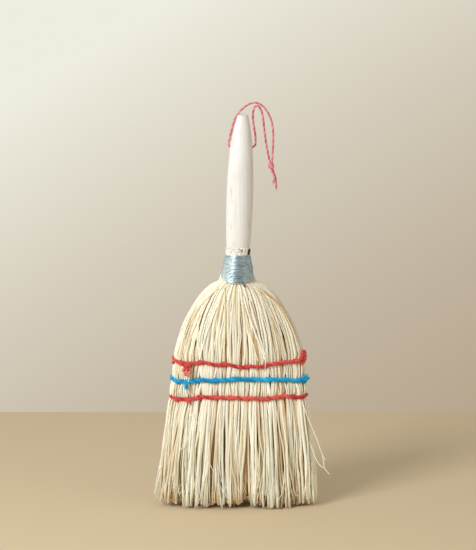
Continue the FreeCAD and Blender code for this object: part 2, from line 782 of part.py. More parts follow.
def make_knot(z, x, tail):
    """A sewing knot on the row, with two free ends that hang from it."""
    room = size("twine_seat") + size("knot_radius")
    step = size("twine_diameter")
    ahead = V(x + step, -oval_depth(x + step, z, room), z)
    behind = V(x - step, -oval_depth(x - step, z, room), z)
    centre = V(x, -oval_depth(x, z, room), z)
    along = (ahead - behind).normalize()
    knot = wrapped_barrel(size("knot_radius"), size("knot_length"), centre, along)
    tails = []
    for share in (-HALF_SHARE, HALF_SHARE):
        start = centre + along * (size("tail_spread") * share)
        length = tail * (1 + share / KNOT_WRAPS)
        tails.append(Part.makeCylinder(twine_radius, length, start, V(0, 0, -1)))
    return knot.fuse(tails).removeSplitter()


# The hanging cord. Its route is laid over the photograph, across and up from the hole's middle.

LEFT_ROUTE = [
    (-12.8, 9.0),
    (-10.6, 18.6),
    (-7.9, 27.6),
    (-3.9, 35.2),
    (2.6, 40.6),
    (8.6, 43.6),
    (14.8, 43.6),
    (20.6, 40.0),
    (25.7, 33.8),
    (29.1, 25.9),
    (30.4, 16.8),
    (30.0, 3.4),
    (29.2, -14.4),
]
RIGHT_ROUTE = [
    (13.7, 9.6),
    (12.0, 20.6),
    (11.0, 31.0),
    (12.6, 38.2),
    (15.9, 39.2),
    (19.4, 34.9),
    (21.0, 26.2),
    (22.6, 11.0),
    (24.4, -1.6),
    (26.6, -14.4),
]
LONG_TAIL = [(0.5, 0.0), (3.2, -9.0), (4.2, -15.0), (4.2, -23.4)]
SHORT_TAIL = [(-1.0, 0.0), (0.6, -9.4), (0.0, -18.0)]

hole_middle = V(
    size("hole_height") * math.sin(lean),
    0,
    binding_middle + size("hole_height") * math.cos(lean),
)
hole_way = V(math.cos(lean), 0, -math.sin(lean))


def routed(points, origin):
    return [origin + V(across, 0, up) for across, up in points]


def cord_radii(points):
    """The bend at each inner point: as large as its two runs allow."""
    radii = []
    for before, corner, after in zip(points, points[1:], points[2:]):
        back = before - corner
        onward = after - corner
        half_turn = (math.pi - back.getAngle(onward)) / 2
        shorter = min(back.Length, onward.Length)
        radii.append(shorter * ARC_RUN_SHARE / math.tan(half_turn))
    return radii


def make_hanging_cord():
    out = size("hole_level_radius") + size("mouth_bend") + size("tie_gap")
    left = routed(LEFT_ROUTE, hole_middle)
    right = routed(RIGHT_ROUTE, hole_middle)
    left_mouth = hole_middle - hole_way * out
    right_mouth = hole_middle + hole_way * out
    points = left[::-1] + [left_mouth, right_mouth] + right
    radii = cord_radii(points)
    for i in (len(left) - 1, len(left)):
        radii[i] = min(radii[i], size("mouth_bend"))
    print("cord bends", [round(r, 1) for r in radii])
    path = bent_wire(points, radii)
    samples = [p for edge in path.OrderedEdges for p in edge.discretize(5)]
    print("cord gap", round(least_gap(samples, cord_radius, size("cord_diameter") * 4), 3))
    solid = tube(path, cord_radius)
    section = math.pi * cord_radius**2
    print("cord volume share", round(solid.Volume / (section * path.Length), 4))
    return solid


def make_hanging_knot():
    """The knot under the cord's two strands, with its two cut ends."""
    left_end = hole_middle + V(LEFT_ROUTE[-1][0], 0, LEFT_ROUTE[-1][1])
    right_end = hole_middle + V(RIGHT_ROUTE[-1][0], 0, RIGHT_ROUTE[-1][1])
    top = (left_end + right_end) * HALF_SHARE - V(0, 0, size("tie_gap"))
    centre = top - V(0, 0, size("cord_knot_length") / 2)
    barrel = wrapped_barrel(
        size("cord_knot_radius") / size("knot_waist_share"),
        size("cord_knot_length"),
        centre,
        V(0, 0, 1),
    )
    tails = []
    for route in (LONG_TAIL, SHORT_TAIL):
        points = routed(route, centre)
        tails.append(tube(bent_wire(points, cord_radii(points)), cord_radius))
    return barrel.fuse(tails).removeSplitter()


# The document


def add(name, shape):
    """A document object for a shape that is made by formula."""
    feature = doc.addObject("Part::Feature", name)
    feature.Shape = shape
    feature.Placement = FreeCAD.Placement()
    return feature


pieces = [make_handle(), make_nails(), add("binding_wire", make_binding_wire())]
for name, strands in make_straw().items():
    pieces.append(add(name, Part.makeCompound(strands)))

tails = {
    "upper": size("upper_tail"),
    "middle": size("middle_tail"),
    "lower": size("lower_tail"),
}
for name, z in row_heights.items():
    half = head_half_sizes(z)[0] - size("end_inset")
    boundaries = range(KNOT_BOUNDARY, COVER_COLUMNS, STITCH_STEP)
    xs = [half * (boundary * 2 / COVER_COLUMNS - 1) for boundary in boundaries]
    pieces.append(add(f"{name}_band", make_band(z, xs[0])))
    pieces.append(add(f"{name}_stitches", make_stitches(z, xs)))
    pieces.append(add(f"{name}_knot", make_knot(z, xs[0], tails[name])))

pieces.append(add("hanging_cord", make_hanging_cord()))
pieces.append(add("hanging_knot", make_hanging_knot()))
doc.recompute()

os.makedirs("parts", exist_ok=True)
for piece in doc.Objects:
    bad = [word for word in piece.State if word in ("Invalid", "Error")]
    if bad:
        raise ValueError(f"{piece.Name} is {bad}")
for piece in pieces:
    piece.Label = piece.Name
    shape = piece.Shape
    if shape.isNull() or not shape.isValid() or not shape.Solids:
        raise ValueError(f"{piece.Name} has no valid solid")
    shape.exportStep(f"parts/{piece.Label}.step")
    print(piece.Label, len(shape.Solids), "solids", round(shape.Volume / 1000, 2), "cm3")
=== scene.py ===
"""Looks of a hand broom: straw, wire, sewing twine, hanging cord and a turned handle.

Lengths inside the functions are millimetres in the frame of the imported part. They become metres
where a mesh is made.
"""

import math

import bpy
import numpy as np
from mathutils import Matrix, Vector


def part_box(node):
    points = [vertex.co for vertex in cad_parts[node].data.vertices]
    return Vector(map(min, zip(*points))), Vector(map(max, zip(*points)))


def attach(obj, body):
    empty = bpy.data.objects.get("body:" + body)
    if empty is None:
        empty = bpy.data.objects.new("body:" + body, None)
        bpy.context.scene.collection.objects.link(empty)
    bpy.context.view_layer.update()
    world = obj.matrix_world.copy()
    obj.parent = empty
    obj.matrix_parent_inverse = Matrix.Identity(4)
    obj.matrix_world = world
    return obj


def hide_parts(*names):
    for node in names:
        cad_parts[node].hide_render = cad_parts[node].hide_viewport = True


bl_info = {
    "name": "Hand Broom",
    "version": (1, 0, 0),
    "blender": (4, 5, 0),
    "location": "View3D > Sidebar > Broom",
    "description": "Builds the straw, wire, twine, cord and finishes of a hand broom",
    "category": "Add Mesh",
}

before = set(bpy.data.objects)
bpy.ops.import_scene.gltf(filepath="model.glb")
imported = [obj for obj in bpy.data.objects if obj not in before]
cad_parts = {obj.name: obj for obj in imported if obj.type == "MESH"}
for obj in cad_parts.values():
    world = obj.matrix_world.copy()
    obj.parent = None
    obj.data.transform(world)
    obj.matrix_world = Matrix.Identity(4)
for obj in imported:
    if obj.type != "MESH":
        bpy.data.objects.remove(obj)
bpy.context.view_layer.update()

MM = 0.001
TURN = 2 * math.pi
FRONT = -1
BACK = 1


def linear(red, green, blue):
    """A display colour of 0 to 255 as the linear colour that shaders take."""
    shares = [channel / 255 for channel in (red, green, blue)]
    return tuple(
        share / 12.92 if share <= 0.04045 else ((share + 0.055) / 1.055) ** 2.4
        for share in shares
    )


def ramp_up(value, start, span):
    """From 0 at the start to 1 a span above it."""
    return np.clip((value - start) / span, 0, 1)


def ramp_down(value, start, span):
    """From 0 at the start to 1 a span below it."""
    return np.clip((start - value) / span, 0, 1)


def node_box(node):
    """The lowest and highest corner of a solid of the part, in millimetres."""
    low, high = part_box(node)
    return np.array(low) / MM, np.array(high) / MM


ROWS = ("upper", "middle", "lower")
ROW_HEIGHT = {row: float(np.mean([c[2] for c in node_box(row + "_band")])) for row in ROWS}
BINDING_BOTTOM = float(node_box("binding_wire")[0][2])
BINDING_TOP = float(node_box("binding_wire")[1][2])
STUB_TOP = float(node_box("front_cover_straw")[1][2])
NECK_MIDDLE = (BINDING_BOTTOM + BINDING_TOP) / 2


# The form of the straw, as in the part's source

HANDLE_LEAN = math.tan(math.radians(1.78))
SHANK_END = 180.5
SHANK_RADIUS = 8.6
SHANK_TIP_RADIUS = 2.5
SHANK_SEAT = 0.45
GRIP_END_RADIUS = 11.4
SEAT_LENGTH = 10.0
NECK_TOP_RADIUS = 10.8
NECK_BOTTOM_RADIUS = 14.1
COLLAR_HEIGHT = 6.4
COLLAR_RADIUS = 10.6
COLLAR_FLARE = 0.4
SPREAD_DROP = 1.2
SPREAD_POWER = 0.46
SPREAD_TURN = 1.5
SPREAD_START = 0.012
SEWN_HALF_DEPTH = 15.5
ROW_BULGE = 1.0
SHOULDER_BULGE = 3.0
END_ROUND = 0.6
END_INSET = 0.9
HALF_WIDTH = {"upper": 64.0, "lower": 67.0, "sweep": 77.0}
SWEEP_HALF_DEPTH = 21.0
FLARE_POWER = 1.9

# How the photographed broom departs from that form. The head's sway is (height, place across).
HEAD_SWAY = (
    (0, -0.2), (20, -0.4), (44, -0.5), (78, 0.2), (102, 1.0), (125, 1.4),
    (160, 1.4), (183, 1.1), (200, 1.0), (212, 0.8), (219, 0.2), (224, 0.0),
)
SIDE_RISE = 2.3
SIDE_RISE_FROM = 196
SIDE_RISE_SPAN = 20
WIRE_RISE = 3.8
WIRE_DIP = 1.2
WIRE_OVERRUN = 1.8


def sway_x(z):
    """How far the head's middle is to one side at a height."""
    return np.interp(z, *zip(*HEAD_SWAY))


def lean_x(z):
    """The middle of the neck and handle at a height."""
    return (z - NECK_MIDDLE) * HANDLE_LEAN


def shank_radius(z):
    """The handle's radius inside the straw."""
    above = ramp_up(z, BINDING_TOP, SEAT_LENGTH)
    below = ramp_up(z, SHANK_END, BINDING_TOP - SHANK_END)
    seated = SHANK_RADIUS + above * (GRIP_END_RADIUS - SHANK_RADIUS)
    buried = SHANK_TIP_RADIUS + below * (SHANK_RADIUS - SHANK_TIP_RADIUS)
    return np.where(z >= BINDING_TOP, seated, buried)


def neck_radius(z):
    """The radius of the bound straw."""
    collar = COLLAR_RADIUS + (z - BINDING_TOP) / COLLAR_HEIGHT * COLLAR_FLARE
    share = ramp_down(z, BINDING_TOP, BINDING_TOP - BINDING_BOTTOM)
    swell = np.sin(share * math.pi / 2) * (NECK_BOTTOM_RADIUS - NECK_TOP_RADIUS)
    return np.where(z > BINDING_TOP, collar, NECK_TOP_RADIUS + swell)


def spread_at(z):
    """From 0, round as the neck, to 1, flat as the sewn head."""
    start = BINDING_BOTTOM - SPREAD_DROP
    share = ramp_down(z, start, start - ROW_HEIGHT["upper"])
    share = 1 - (1 - share) ** SPREAD_TURN
    low = SPREAD_START**SPREAD_POWER
    full = (1 + SPREAD_START) ** SPREAD_POWER
    return ((share + SPREAD_START) ** SPREAD_POWER - low) / (full - low)


def head_half_sizes(z):
    """Half the width and half the depth of the flat head."""
    lower = ROW_HEIGHT["lower"]
    upper = ROW_HEIGHT["upper"]
    share = ramp_up(z, lower, upper - lower)
    sewn_width = HALF_WIDTH["lower"] + share * (HALF_WIDTH["upper"] - HALF_WIDTH["lower"])
    between = np.sin(share * TURN) ** 2 * ROW_BULGE
    shoulder = np.where(z > upper, SHOULDER_BULGE * (1 - spread_at(z)), between)
    flare = 1 - (np.clip(z, 0, lower) / lower) ** FLARE_POWER
    width = sewn_width + flare * (HALF_WIDTH["sweep"] - HALF_WIDTH["lower"])
    depth = SEWN_HALF_DEPTH + shoulder + flare * (SWEEP_HALF_DEPTH - SEWN_HALF_DEPTH)
    return width, depth


def oval_depth(x, half_width, half_depth):
    """Half the depth of the head's four-arc outline at a distance from its middle."""
    end = END_ROUND * half_depth
    end_x = half_width - end
    rest = half_depth - end
    behind = (end_x**2 - rest**2) / (rest * 2)
    front = half_depth + behind
    tangent_x = front * end_x / (front - end)
    far = np.abs(x)
    flat = np.sqrt(np.maximum(front**2 - far**2, 0)) - behind
    beyond = np.clip(far - end_x, 0, end)
    return np.where(far <= tangent_x, flat, np.sqrt(np.maximum(end**2 - beyond**2, 0)))


def straw_place(across, layer, neck_layer, side, z):
    """Where a place in the straw is at a height. across runs from -1 at the left to 1, layer from
    0 inside to 1 outside, and neck_layer is the layer under the wire."""
    angle = math.pi * (1 + across) / 2
    inner = shank_radius(z) + SHANK_SEAT
    radius = inner + neck_layer * (neck_radius(z) - inner)
    half_width, half_depth = head_half_sizes(z)
    x = across * (half_width - END_INSET)
    outer_y = oval_depth(x, half_width, half_depth)
    core = np.where(z >= SHANK_END, inner, 0)
    inner_y = np.minimum(core * (1 - across**2), outer_y / 2)
    y = inner_y + layer * (outer_y - inner_y)
    rise = SIDE_RISE * across**2 * ramp_up(z, SIDE_RISE_FROM, SIDE_RISE_SPAN)
    spread = spread_at(z - rise)
    place_x = (lean_x(z) - radius * np.cos(angle)) * (1 - spread) + x * spread
    place_y = side * (radius * np.sin(angle) * (1 - spread) + y * spread)
    return place_x, place_y


# Strand meshes

# Each strand has an upright strip of the bake map, with its two caps at the ends of the strip
STRIP_SHAPE = 24
STRIP_EDGE = 0.07
STRIP_END = 0.02
CAP_PLACES = (0.01, 0.99)
CAP_WIDTH = 0.2
CAP_HEIGHT = 0.006
WALL_CORNERS = 4


def unit(vectors):
    """The vectors at length one."""
    lengths = np.linalg.norm(vectors, axis=-1, keepdims=True)
    return vectors / np.maximum(lengths, 1e-9)


def carried_frames(paths):
    """Two directions across each path that turn with it as little as they can."""
    along = unit(np.gradient(paths, axis=1))
    least = np.argmin(np.abs(along[:, 0]), axis=1)
    first = np.eye(3)[least]
    across = np.empty_like(paths)
    for i in range(paths.shape[1]):
        first = unit(first - (first * along[:, i]).sum(1, keepdims=True) * along[:, i])
        across[:, i] = first
    return across, np.cross(along, across)


def tube_points(paths, radii, sides):
    """The rings of points round each strand, by strand, point of its path and side."""
    right, up = carried_frames(paths)
    turn = np.arange(sides) / sides * TURN
    ring = (
        np.cos(turn)[None, None, :, None] * right[:, :, None]
        + np.sin(turn)[None, None, :, None] * up[:, :, None]
    )
    return paths[:, :, None] + ring * radii[:, :, None, None]


def wall_faces(index, left, base, columns, bands):
    """The strands' walls: the corners of each face, and their places in the bake map."""
    stations, sides = index.shape[1:]
    beside = np.roll(index, -1, 2)
    quads = np.stack((index[:, :-1], beside[:, :-1], beside[:, 1:], index[:, 1:]), -1)
    u = np.arange(sides + 1) / sides * (1 - 2 * STRIP_EDGE) + STRIP_EDGE
    v = np.arange(stations) / (stations - 1) * (1 - 2 * STRIP_END) + STRIP_END
    u = left[:, None, None] + u / columns
    v = base[:, None, None] + v[:, None] / bands
    corners = (
        (u[:, :, :-1], v[:, :-1]),
        (u[:, :, 1:], v[:, :-1]),
        (u[:, :, 1:], v[:, 1:]),
        (u[:, :, :-1], v[:, 1:]),
    )
    maps = np.stack([np.stack(np.broadcast_arrays(*corner), -1) for corner in corners], -2)
    return quads.reshape(-1, WALL_CORNERS), maps.reshape(-1, 2)


def cap_faces(index, left, base, columns, bands):
    """The strands' two ends, each as wall_faces gives the walls."""
    sides = index.shape[2]
    turn = np.arange(sides) / sides * TURN
    found = []
    for end, way, height in ((0, -1, CAP_PLACES[0]), (-1, 1, CAP_PLACES[1])):
        u = (left + 0.5 / columns)[:, None] + np.cos(turn) * CAP_WIDTH / columns
        v = (base + height / bands)[:, None] + np.sin(turn) * CAP_HEIGHT / bands
        found.append((index[:, end, ::way], np.stack((u, v), -1).reshape(-1, 2)))
    return found


class Strands:
    """Round strands gathered into one mesh, each with its own tint and strip of the bake map."""

    def __init__(self):
        self.batches = []

    def add(self, paths, radii, tints, sides=6):
        """paths and tints are strands by points by 3, and radii are strands by points."""
        paths = np.asarray(paths, float)
        radii = np.broadcast_to(np.asarray(radii, float), paths.shape[:2])
        tints = np.broadcast_to(np.asarray(tints, float), paths.shape)
        self.batches.append((paths, radii, tints, sides))

    def piece(self, name, finish):
        """The mesh object of all the strands."""
        total = sum(len(batch[0]) for batch in self.batches)
        columns = min(math.ceil(math.sqrt(total * STRIP_SHAPE)), total)
        bands = math.ceil(total / columns)
        points, tints, faces = [], [], []
        laid = 0
        first = 0
        for paths, radii, colours, sides in self.batches:
            places = tube_points(paths, radii, sides)
            points.append(places.reshape(-1, 3))
            tints.append(np.repeat(colours[:, :, None], sides, 2).reshape(-1, 3))
            index = np.arange(places.size // 3).reshape(places.shape[:3]) + first
            number = np.arange(len(paths)) + laid
            strips = (number % columns / columns, number // columns / bands, columns, bands)
            faces.append(wall_faces(index, *strips))
            faces += cap_faces(index, *strips)
            first += index.size
            laid += len(paths)
        mesh = bpy.data.meshes.new(name)
        verts = np.concatenate(points) * MM
        mesh.vertices.add(len(verts))
        mesh.vertices.foreach_set("co", verts.astype(np.float32).ravel())
        corners = np.concatenate([face.reshape(-1) for face, _ in faces])
        mesh.loops.add(len(corners))
        mesh.loops.foreach_set("vertex_index", corners.astype(np.int32))
        sizes = np.concatenate([np.full(len(face), face.shape[1]) for face, _ in faces])
        mesh.polygons.add(len(sizes))
        mesh.polygons.foreach_set("loop_start", (np.cumsum(sizes) - sizes).astype(np.int32))
        mesh.update(calc_edges=True)
        mesh.polygons.foreach_set("use_smooth", sizes == WALL_CORNERS)
        layer = mesh.uv_layers.new(name="OFBake")
        maps = np.concatenate([places for _, places in faces])
        layer.data.foreach_set("uv", maps.astype(np.float32).ravel())
        tint = mesh.attributes.new("tint", "FLOAT_COLOR", "POINT")
        shades = np.concatenate(tints)
        full = np.concatenate((shades, np.ones((len(shades), 1))), 1)
        tint.data.foreach_set("color", full.astype(np.float32).ravel())
        mesh.validate()
        mesh.materials.append(finish)
        return linked(bpy.data.objects.new(name, mesh))


def linked(obj):
    """The object, in the scene."""
    bpy.context.scene.collection.objects.link(obj)
    return obj


def refinish(node, finish):
    """A better material on a solid of the part that stays."""
    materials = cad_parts[node].data.materials
    materials.clear()
    materials.append(finish)


def on_broom(strands, name, finish, node=None):
    """Makes a piece that rides on the broom and, where a node is given, stands for that solid."""
    piece = strands.piece(name, finish)
    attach(piece, "broom")
    if node:
        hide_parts(node)


def eased(points, count):
    """A soft line of count points near the corner points, from the first to the last."""
    points = np.asarray(points, float)
    padded = np.concatenate((points[:1], points[:1], points, points[-1:], points[-1:]))
    spans = len(padded) - 3
    place = np.linspace(0, spans - 1e-9, count)
    first = place.astype(int)
    t = (place - first)[:, None]
    a, b, c, d = (padded[first + i] for i in range(4))
    return (
        (1 - t) ** 3 * a
        + (3 * t**3 - 6 * t**2 + 4) * b
        + (-3 * t**3 + 3 * t**2 + 3 * t + 1) * c
        + t**3 * d
    ) / 6


def run_along(path):
    """The length of a line up to each of its points."""
    gaps = np.linalg.norm(np.diff(path, axis=0), axis=1)
    return np.concatenate(([0], np.cumsum(gaps)))


def even_steps(path, step):
    """The same line with points a step apart."""
    along = run_along(path)
    count = max(4, int(round(along[-1] / step)) + 1)
    places = np.linspace(0, along[-1], count)
    return np.stack([np.interp(places, along, path[:, i]) for i in range(3)], 1)


# Twine

# A twist's length and a ply's distance from the middle are in radii of the twine
TWIST = 5.2
TWIST_STEPS = 11
PLY_REACH = {2: 0.46, 3: 0.52}
PLY_OVERLAP = 1.06
PLY_TINTS = (0.15, 0.95)
PLY_SWELL = 0.07
PLY_SWELL_STEPS = 7
DYE_WAVE = 0.18
DYE_WAVE_STEPS = 5
CUT_END = 0.82
TWINE_PHASE = 6.3
PLY_PHASE = 6

# Frayed ends
FRAY_POINTS = 8
FRAY_SIDES = 5
FRAY_CURL = 0.22
FRAY_STRAIGHT = 0.35
FRAY_BEND = 1.5
FRAY_REACH = (0.55, 1.1)
FRAY_ROOT = 1.6
FRAY_TINTS = (0.1, 1)
FRAY_SIZES = (0.7, 1.25)
FRAY_TAPER = 0.55


def ply_paths(path, radius, plies, lay, phase=0.0):
    """The middle line of each ply that is twisted round a path, and the plies' radius."""
    right, up = carried_frames(path[None])
    along = run_along(path)
    reach = radius * PLY_REACH[plies]
    lines = []
    for i in range(plies):
        turn = along / lay * TURN + phase + i / plies * TURN
        swing = np.cos(turn)[:, None] * right[0] + np.sin(turn)[:, None] * up[0]
        lines.append(path + swing * reach)
    return np.array(lines), (radius - reach) * PLY_OVERLAP


def add_twine(strands, path, colours, rng, radius, plies=3):
    """Twisted twine along a path. colours are the darkest and lightest tint of its plies."""
    lay = radius * TWIST
    path = even_steps(np.asarray(path, float), lay / TWIST_STEPS)
    lines, ply_radius = ply_paths(path, radius, plies, lay, rng.uniform(0, TWINE_PHASE))
    steps = np.arange(len(path))
    phase = rng.uniform(0, PLY_PHASE, (plies, 1))
    swell = 1 + PLY_SWELL * np.sin(steps / PLY_SWELL_STEPS + phase)
    mix = rng.uniform(*PLY_TINTS, (plies, 1, 1))
    phase = rng.uniform(0, PLY_PHASE, (plies, 1))
    wave = DYE_WAVE * np.sin(steps / DYE_WAVE_STEPS + phase)
    share = np.clip(mix + wave[:, :, None], 0, 1)
    dark, light = (np.array(c) for c in colours)
    ends = np.ones(len(path))
    ends[0] = ends[-1] = CUT_END
    strands.add(lines, ply_radius * swell * ends, dark + (light - dark) * share)


def add_fray(strands, root, way, colours, rng, length, count, spread, thick):
    """Loose fibres that fan out of a cut end."""
    way = unit(np.asarray(way, float))
    t = np.linspace(0, 1, FRAY_POINTS)[:, None]
    dark, light = (np.array(c) for c in colours)
    for _ in range(count):
        aim = unit(way + rng.normal(0, spread, 3))
        curl = rng.normal(0, length * FRAY_CURL, 3)
        reach = length * rng.uniform(*FRAY_REACH)
        start = np.asarray(root) + rng.normal(0, thick * FRAY_ROOT, 3)
        line = start + way * t * reach * FRAY_STRAIGHT
        line = line + aim * t**FRAY_BEND * reach * (1 - FRAY_STRAIGHT) + curl * (t**2 - t)
        tint = dark + (light - dark) * rng.uniform(*FRAY_TINTS)
        radius = thick * rng.uniform(*FRAY_SIZES) * (1 - FRAY_TAPER * t[:, 0])
        strands.add(line[None], radius[None], tint, FRAY_SIDES)


# Node helpers and shared effects


def put(tree, node, values):
    """Values or sockets put on a node's inputs."""
    for name, value in values.items():
        socket = node.inputs[name]
        if isinstance(value, bpy.types.NodeSocket):
            tree.links.new(value, socket)
        else:
            socket.default_value = value


def add_node(tree, kind, values=None, **settings):
    """A node with its settings, and with values or sockets on its inputs."""
    node = tree.nodes.new(kind)
    for name, value in settings.items():
        setattr(node, name, value)
    put(tree, node, values or {})
    return node


def maths(tree, operation, *values):
    """A sum on values or sockets."""
    return add_node(tree, "ShaderNodeMath", dict(enumerate(values)), operation=operation).outputs[0]


def ranged(tree, value, low, high, out_low, out_high):
    """A value moved from one range to another."""
    values = {0: value, 1: low, 2: high, 3: out_low, 4: out_high}
    return add_node(tree, "ShaderNodeMapRange", values).outputs[0]


def mixed_colour(tree, share, first, second, blend="MIX"):
    """A blend of two colours, each a socket or a linear colour."""
    ends = [c if isinstance(c, bpy.types.NodeSocket) else (*c, 1) for c in (first, second)]
    values = {0: share, 6: ends[0], 7: ends[1]}
    return add_node(tree, "ShaderNodeMix", values, data_type="RGBA", blend_type=blend).outputs[2]


def grey_of(tree, value):
    """A value as a grey."""
    return add_node(tree, "ShaderNodeCombineColor", {i: value for i in range(3)}).outputs[0]


def noise(tree, place, scale, detail, rough=0.5):
    """Plain noise, most of it between 0.3 and 0.7."""
    values = {"Vector": place, "Scale": scale, "Detail": detail, "Roughness": rough}
    return add_node(tree, "ShaderNodeTexNoise", values).outputs["Fac"]


def clouds(tree, place, scale, detail, low=0.0, high=1.0, rough=0.5):
    """Noise spread over a range."""
    return ranged(tree, noise(tree, place, scale, detail, rough), 0.3, 0.7, low, high)


def bumped(tree, height, strength, distance):
    """The surface's direction, bent by a height."""
    values = {"Strength": strength, "Distance": distance, "Height": height}
    return add_node(tree, "ShaderNodeBump", values).outputs[0]


def new_group(name, inputs, outputs):
    """An empty effect with named inputs and outputs, and its two end nodes."""
    group = bpy.data.node_groups.new(name, "ShaderNodeTree")
    for label, kind, value in inputs:
        socket = group.interface.new_socket(label, in_out="INPUT", socket_type="NodeSocket" + kind)
        if value is not None:
            socket.default_value = value
    for label, kind in outputs:
        group.interface.new_socket(label, in_out="OUTPUT", socket_type="NodeSocket" + kind)
    start = group.nodes.new("NodeGroupInput").outputs
    return group, start, group.nodes.new("NodeGroupOutput")


def long_grain_group(name):
    """Streaks that run up and down: plant fibre and wood grain."""
    inputs = [
        ("Place", "Vector", None),
        ("Fineness", "Float", 700.0),
        ("Stretch", "Vector", (1.0, 1.0, 0.03)),
        ("Dark", "Float", 0.8),
        ("Light", "Float", 1.08),
    ]
    group, start, end = new_group(name, inputs, [("Grain", "Float"), ("Shade", "Color")])
    values = {0: start["Place"], 1: start["Stretch"]}
    drawn = add_node(group, "ShaderNodeVectorMath", values, operation="MULTIPLY")
    grain = clouds(group, drawn.outputs[0], start["Fineness"], 4.0, rough=0.62)
    shade = ranged(group, grain, 0.0, 1.0, start["Dark"], start["Light"])
    put(group, end, {"Grain": grain, "Shade": grey_of(group, shade)})
    return group


def yarn_group(name):
    """Fine fibres and uneven dye of twisted yarn."""
    inputs = [("Place", "Vector", None), ("Fibre", "Float", 2600.0), ("Dye", "Float", 160.0)]
    group, start, end = new_group(name, inputs, [("Fibres", "Float"), ("Shade", "Color")])
    fibres = clouds(group, start["Place"], start["Fibre"], 3.0)
    uneven = clouds(group, start["Place"], start["Dye"], 2.0, 0.84, 1.1)
    lift = ranged(group, fibres, 0.0, 1.0, 0.86, 1.1)
    shade = maths(group, "MULTIPLY", uneven, lift)
    put(group, end, {"Fibres": fibres, "Shade": grey_of(group, shade)})
    return group


def metal_group(name):
    """Cloudy zinc and drawing marks on wire."""
    inputs = [("Place", "Vector", None), ("Cloud", "Float", 240.0), ("Marks", "Float", 1800.0)]
    group, start, end = new_group(name, inputs, [("Cloud", "Float"), ("Marks", "Float")])
    cloud = clouds(group, start["Place"], start["Cloud"], 3.0)
    marks = clouds(group, start["Place"], start["Marks"], 2.0)
    put(group, end, {"Cloud": cloud, "Marks": marks})
    return group


EFFECTS = {
    "Long grain": long_grain_group,
    "Twisted yarn": yarn_group,
    "Drawn metal": metal_group,
}


def use_effect(tree, name, values):
    """A shared effect, built once, in a material with its own values. Gives its outputs."""
    group = bpy.data.node_groups.get(name) or EFFECTS[name](name)
    return add_node(tree, "ShaderNodeGroup", values, node_tree=group).outputs


# Finishes


def new_finish(name):
    """An empty material, its tree, its shader and the place on the object."""
    finish = bpy.data.materials.new(name)
    finish.use_nodes = True
    tree = finish.node_tree
    place = add_node(tree, "ShaderNodeTexCoord").outputs["Object"]
    return finish, tree, tree.nodes["Principled BSDF"], place


def tinted(tree, shade):
    """Each strand's own tint times a shade."""
    tint = add_node(tree, "ShaderNodeAttribute", attribute_name="tint").outputs["Color"]
    return mixed_colour(tree, 1.0, tint, shade, "MULTIPLY")


def straw_finish():
    """Dried straw: a tint for each strand, streaks along it and a faint shine."""
    finish, tree, shader, place = new_finish("pale_straw")
    streaks = use_effect(tree, "Long grain", {"Place": place, "Dark": 0.9, "Light": 1.1})
    values = {
        "Base Color": tinted(tree, streaks["Shade"]),
        "Roughness": ranged(tree, streaks["Grain"], 0.0, 1.0, 0.66, 0.5),
        "Normal": bumped(tree, streaks["Grain"], 0.35, 0.0002),
        "Specular IOR Level": 0.35,
    }
    put(tree, shader, values)
    return finish


def yarn_finish(name, sheen, sheen_tint):
    """Twine or cord: a tint for each ply, fibres and a soft sheen."""
    finish, tree, shader, place = new_finish(name)
    yarn = use_effect(tree, "Twisted yarn", {"Place": place})
    values = {
        "Base Color": tinted(tree, yarn["Shade"]),
        "Roughness": ranged(tree, yarn["Fibres"], 0.0, 1.0, 0.9, 0.72),
        "Normal": bumped(tree, yarn["Fibres"], 0.5, 0.0002),
        "Sheen Weight": sheen,
        "Sheen Tint": (*sheen_tint, 1),
        "Specular IOR Level": 0.25,
    }
    put(tree, shader, values)
    return finish


def metal_finish(name, bright, dull, rough, metallic):
    """Drawn wire or nail steel, cloudy and lightly marked."""
    finish, tree, shader, place = new_finish(name)
    metal = use_effect(tree, "Drawn metal", {"Place": place})
    values = {
        "Base Color": mixed_colour(tree, metal["Cloud"], dull, bright),
        "Roughness": ranged(tree, metal["Marks"], 0.0, 1.0, *rough),
        "Normal": bumped(tree, metal["Marks"], 0.06, 0.0001),
        "Metallic": metallic,
    }
    put(tree, shader, values)
    return finish


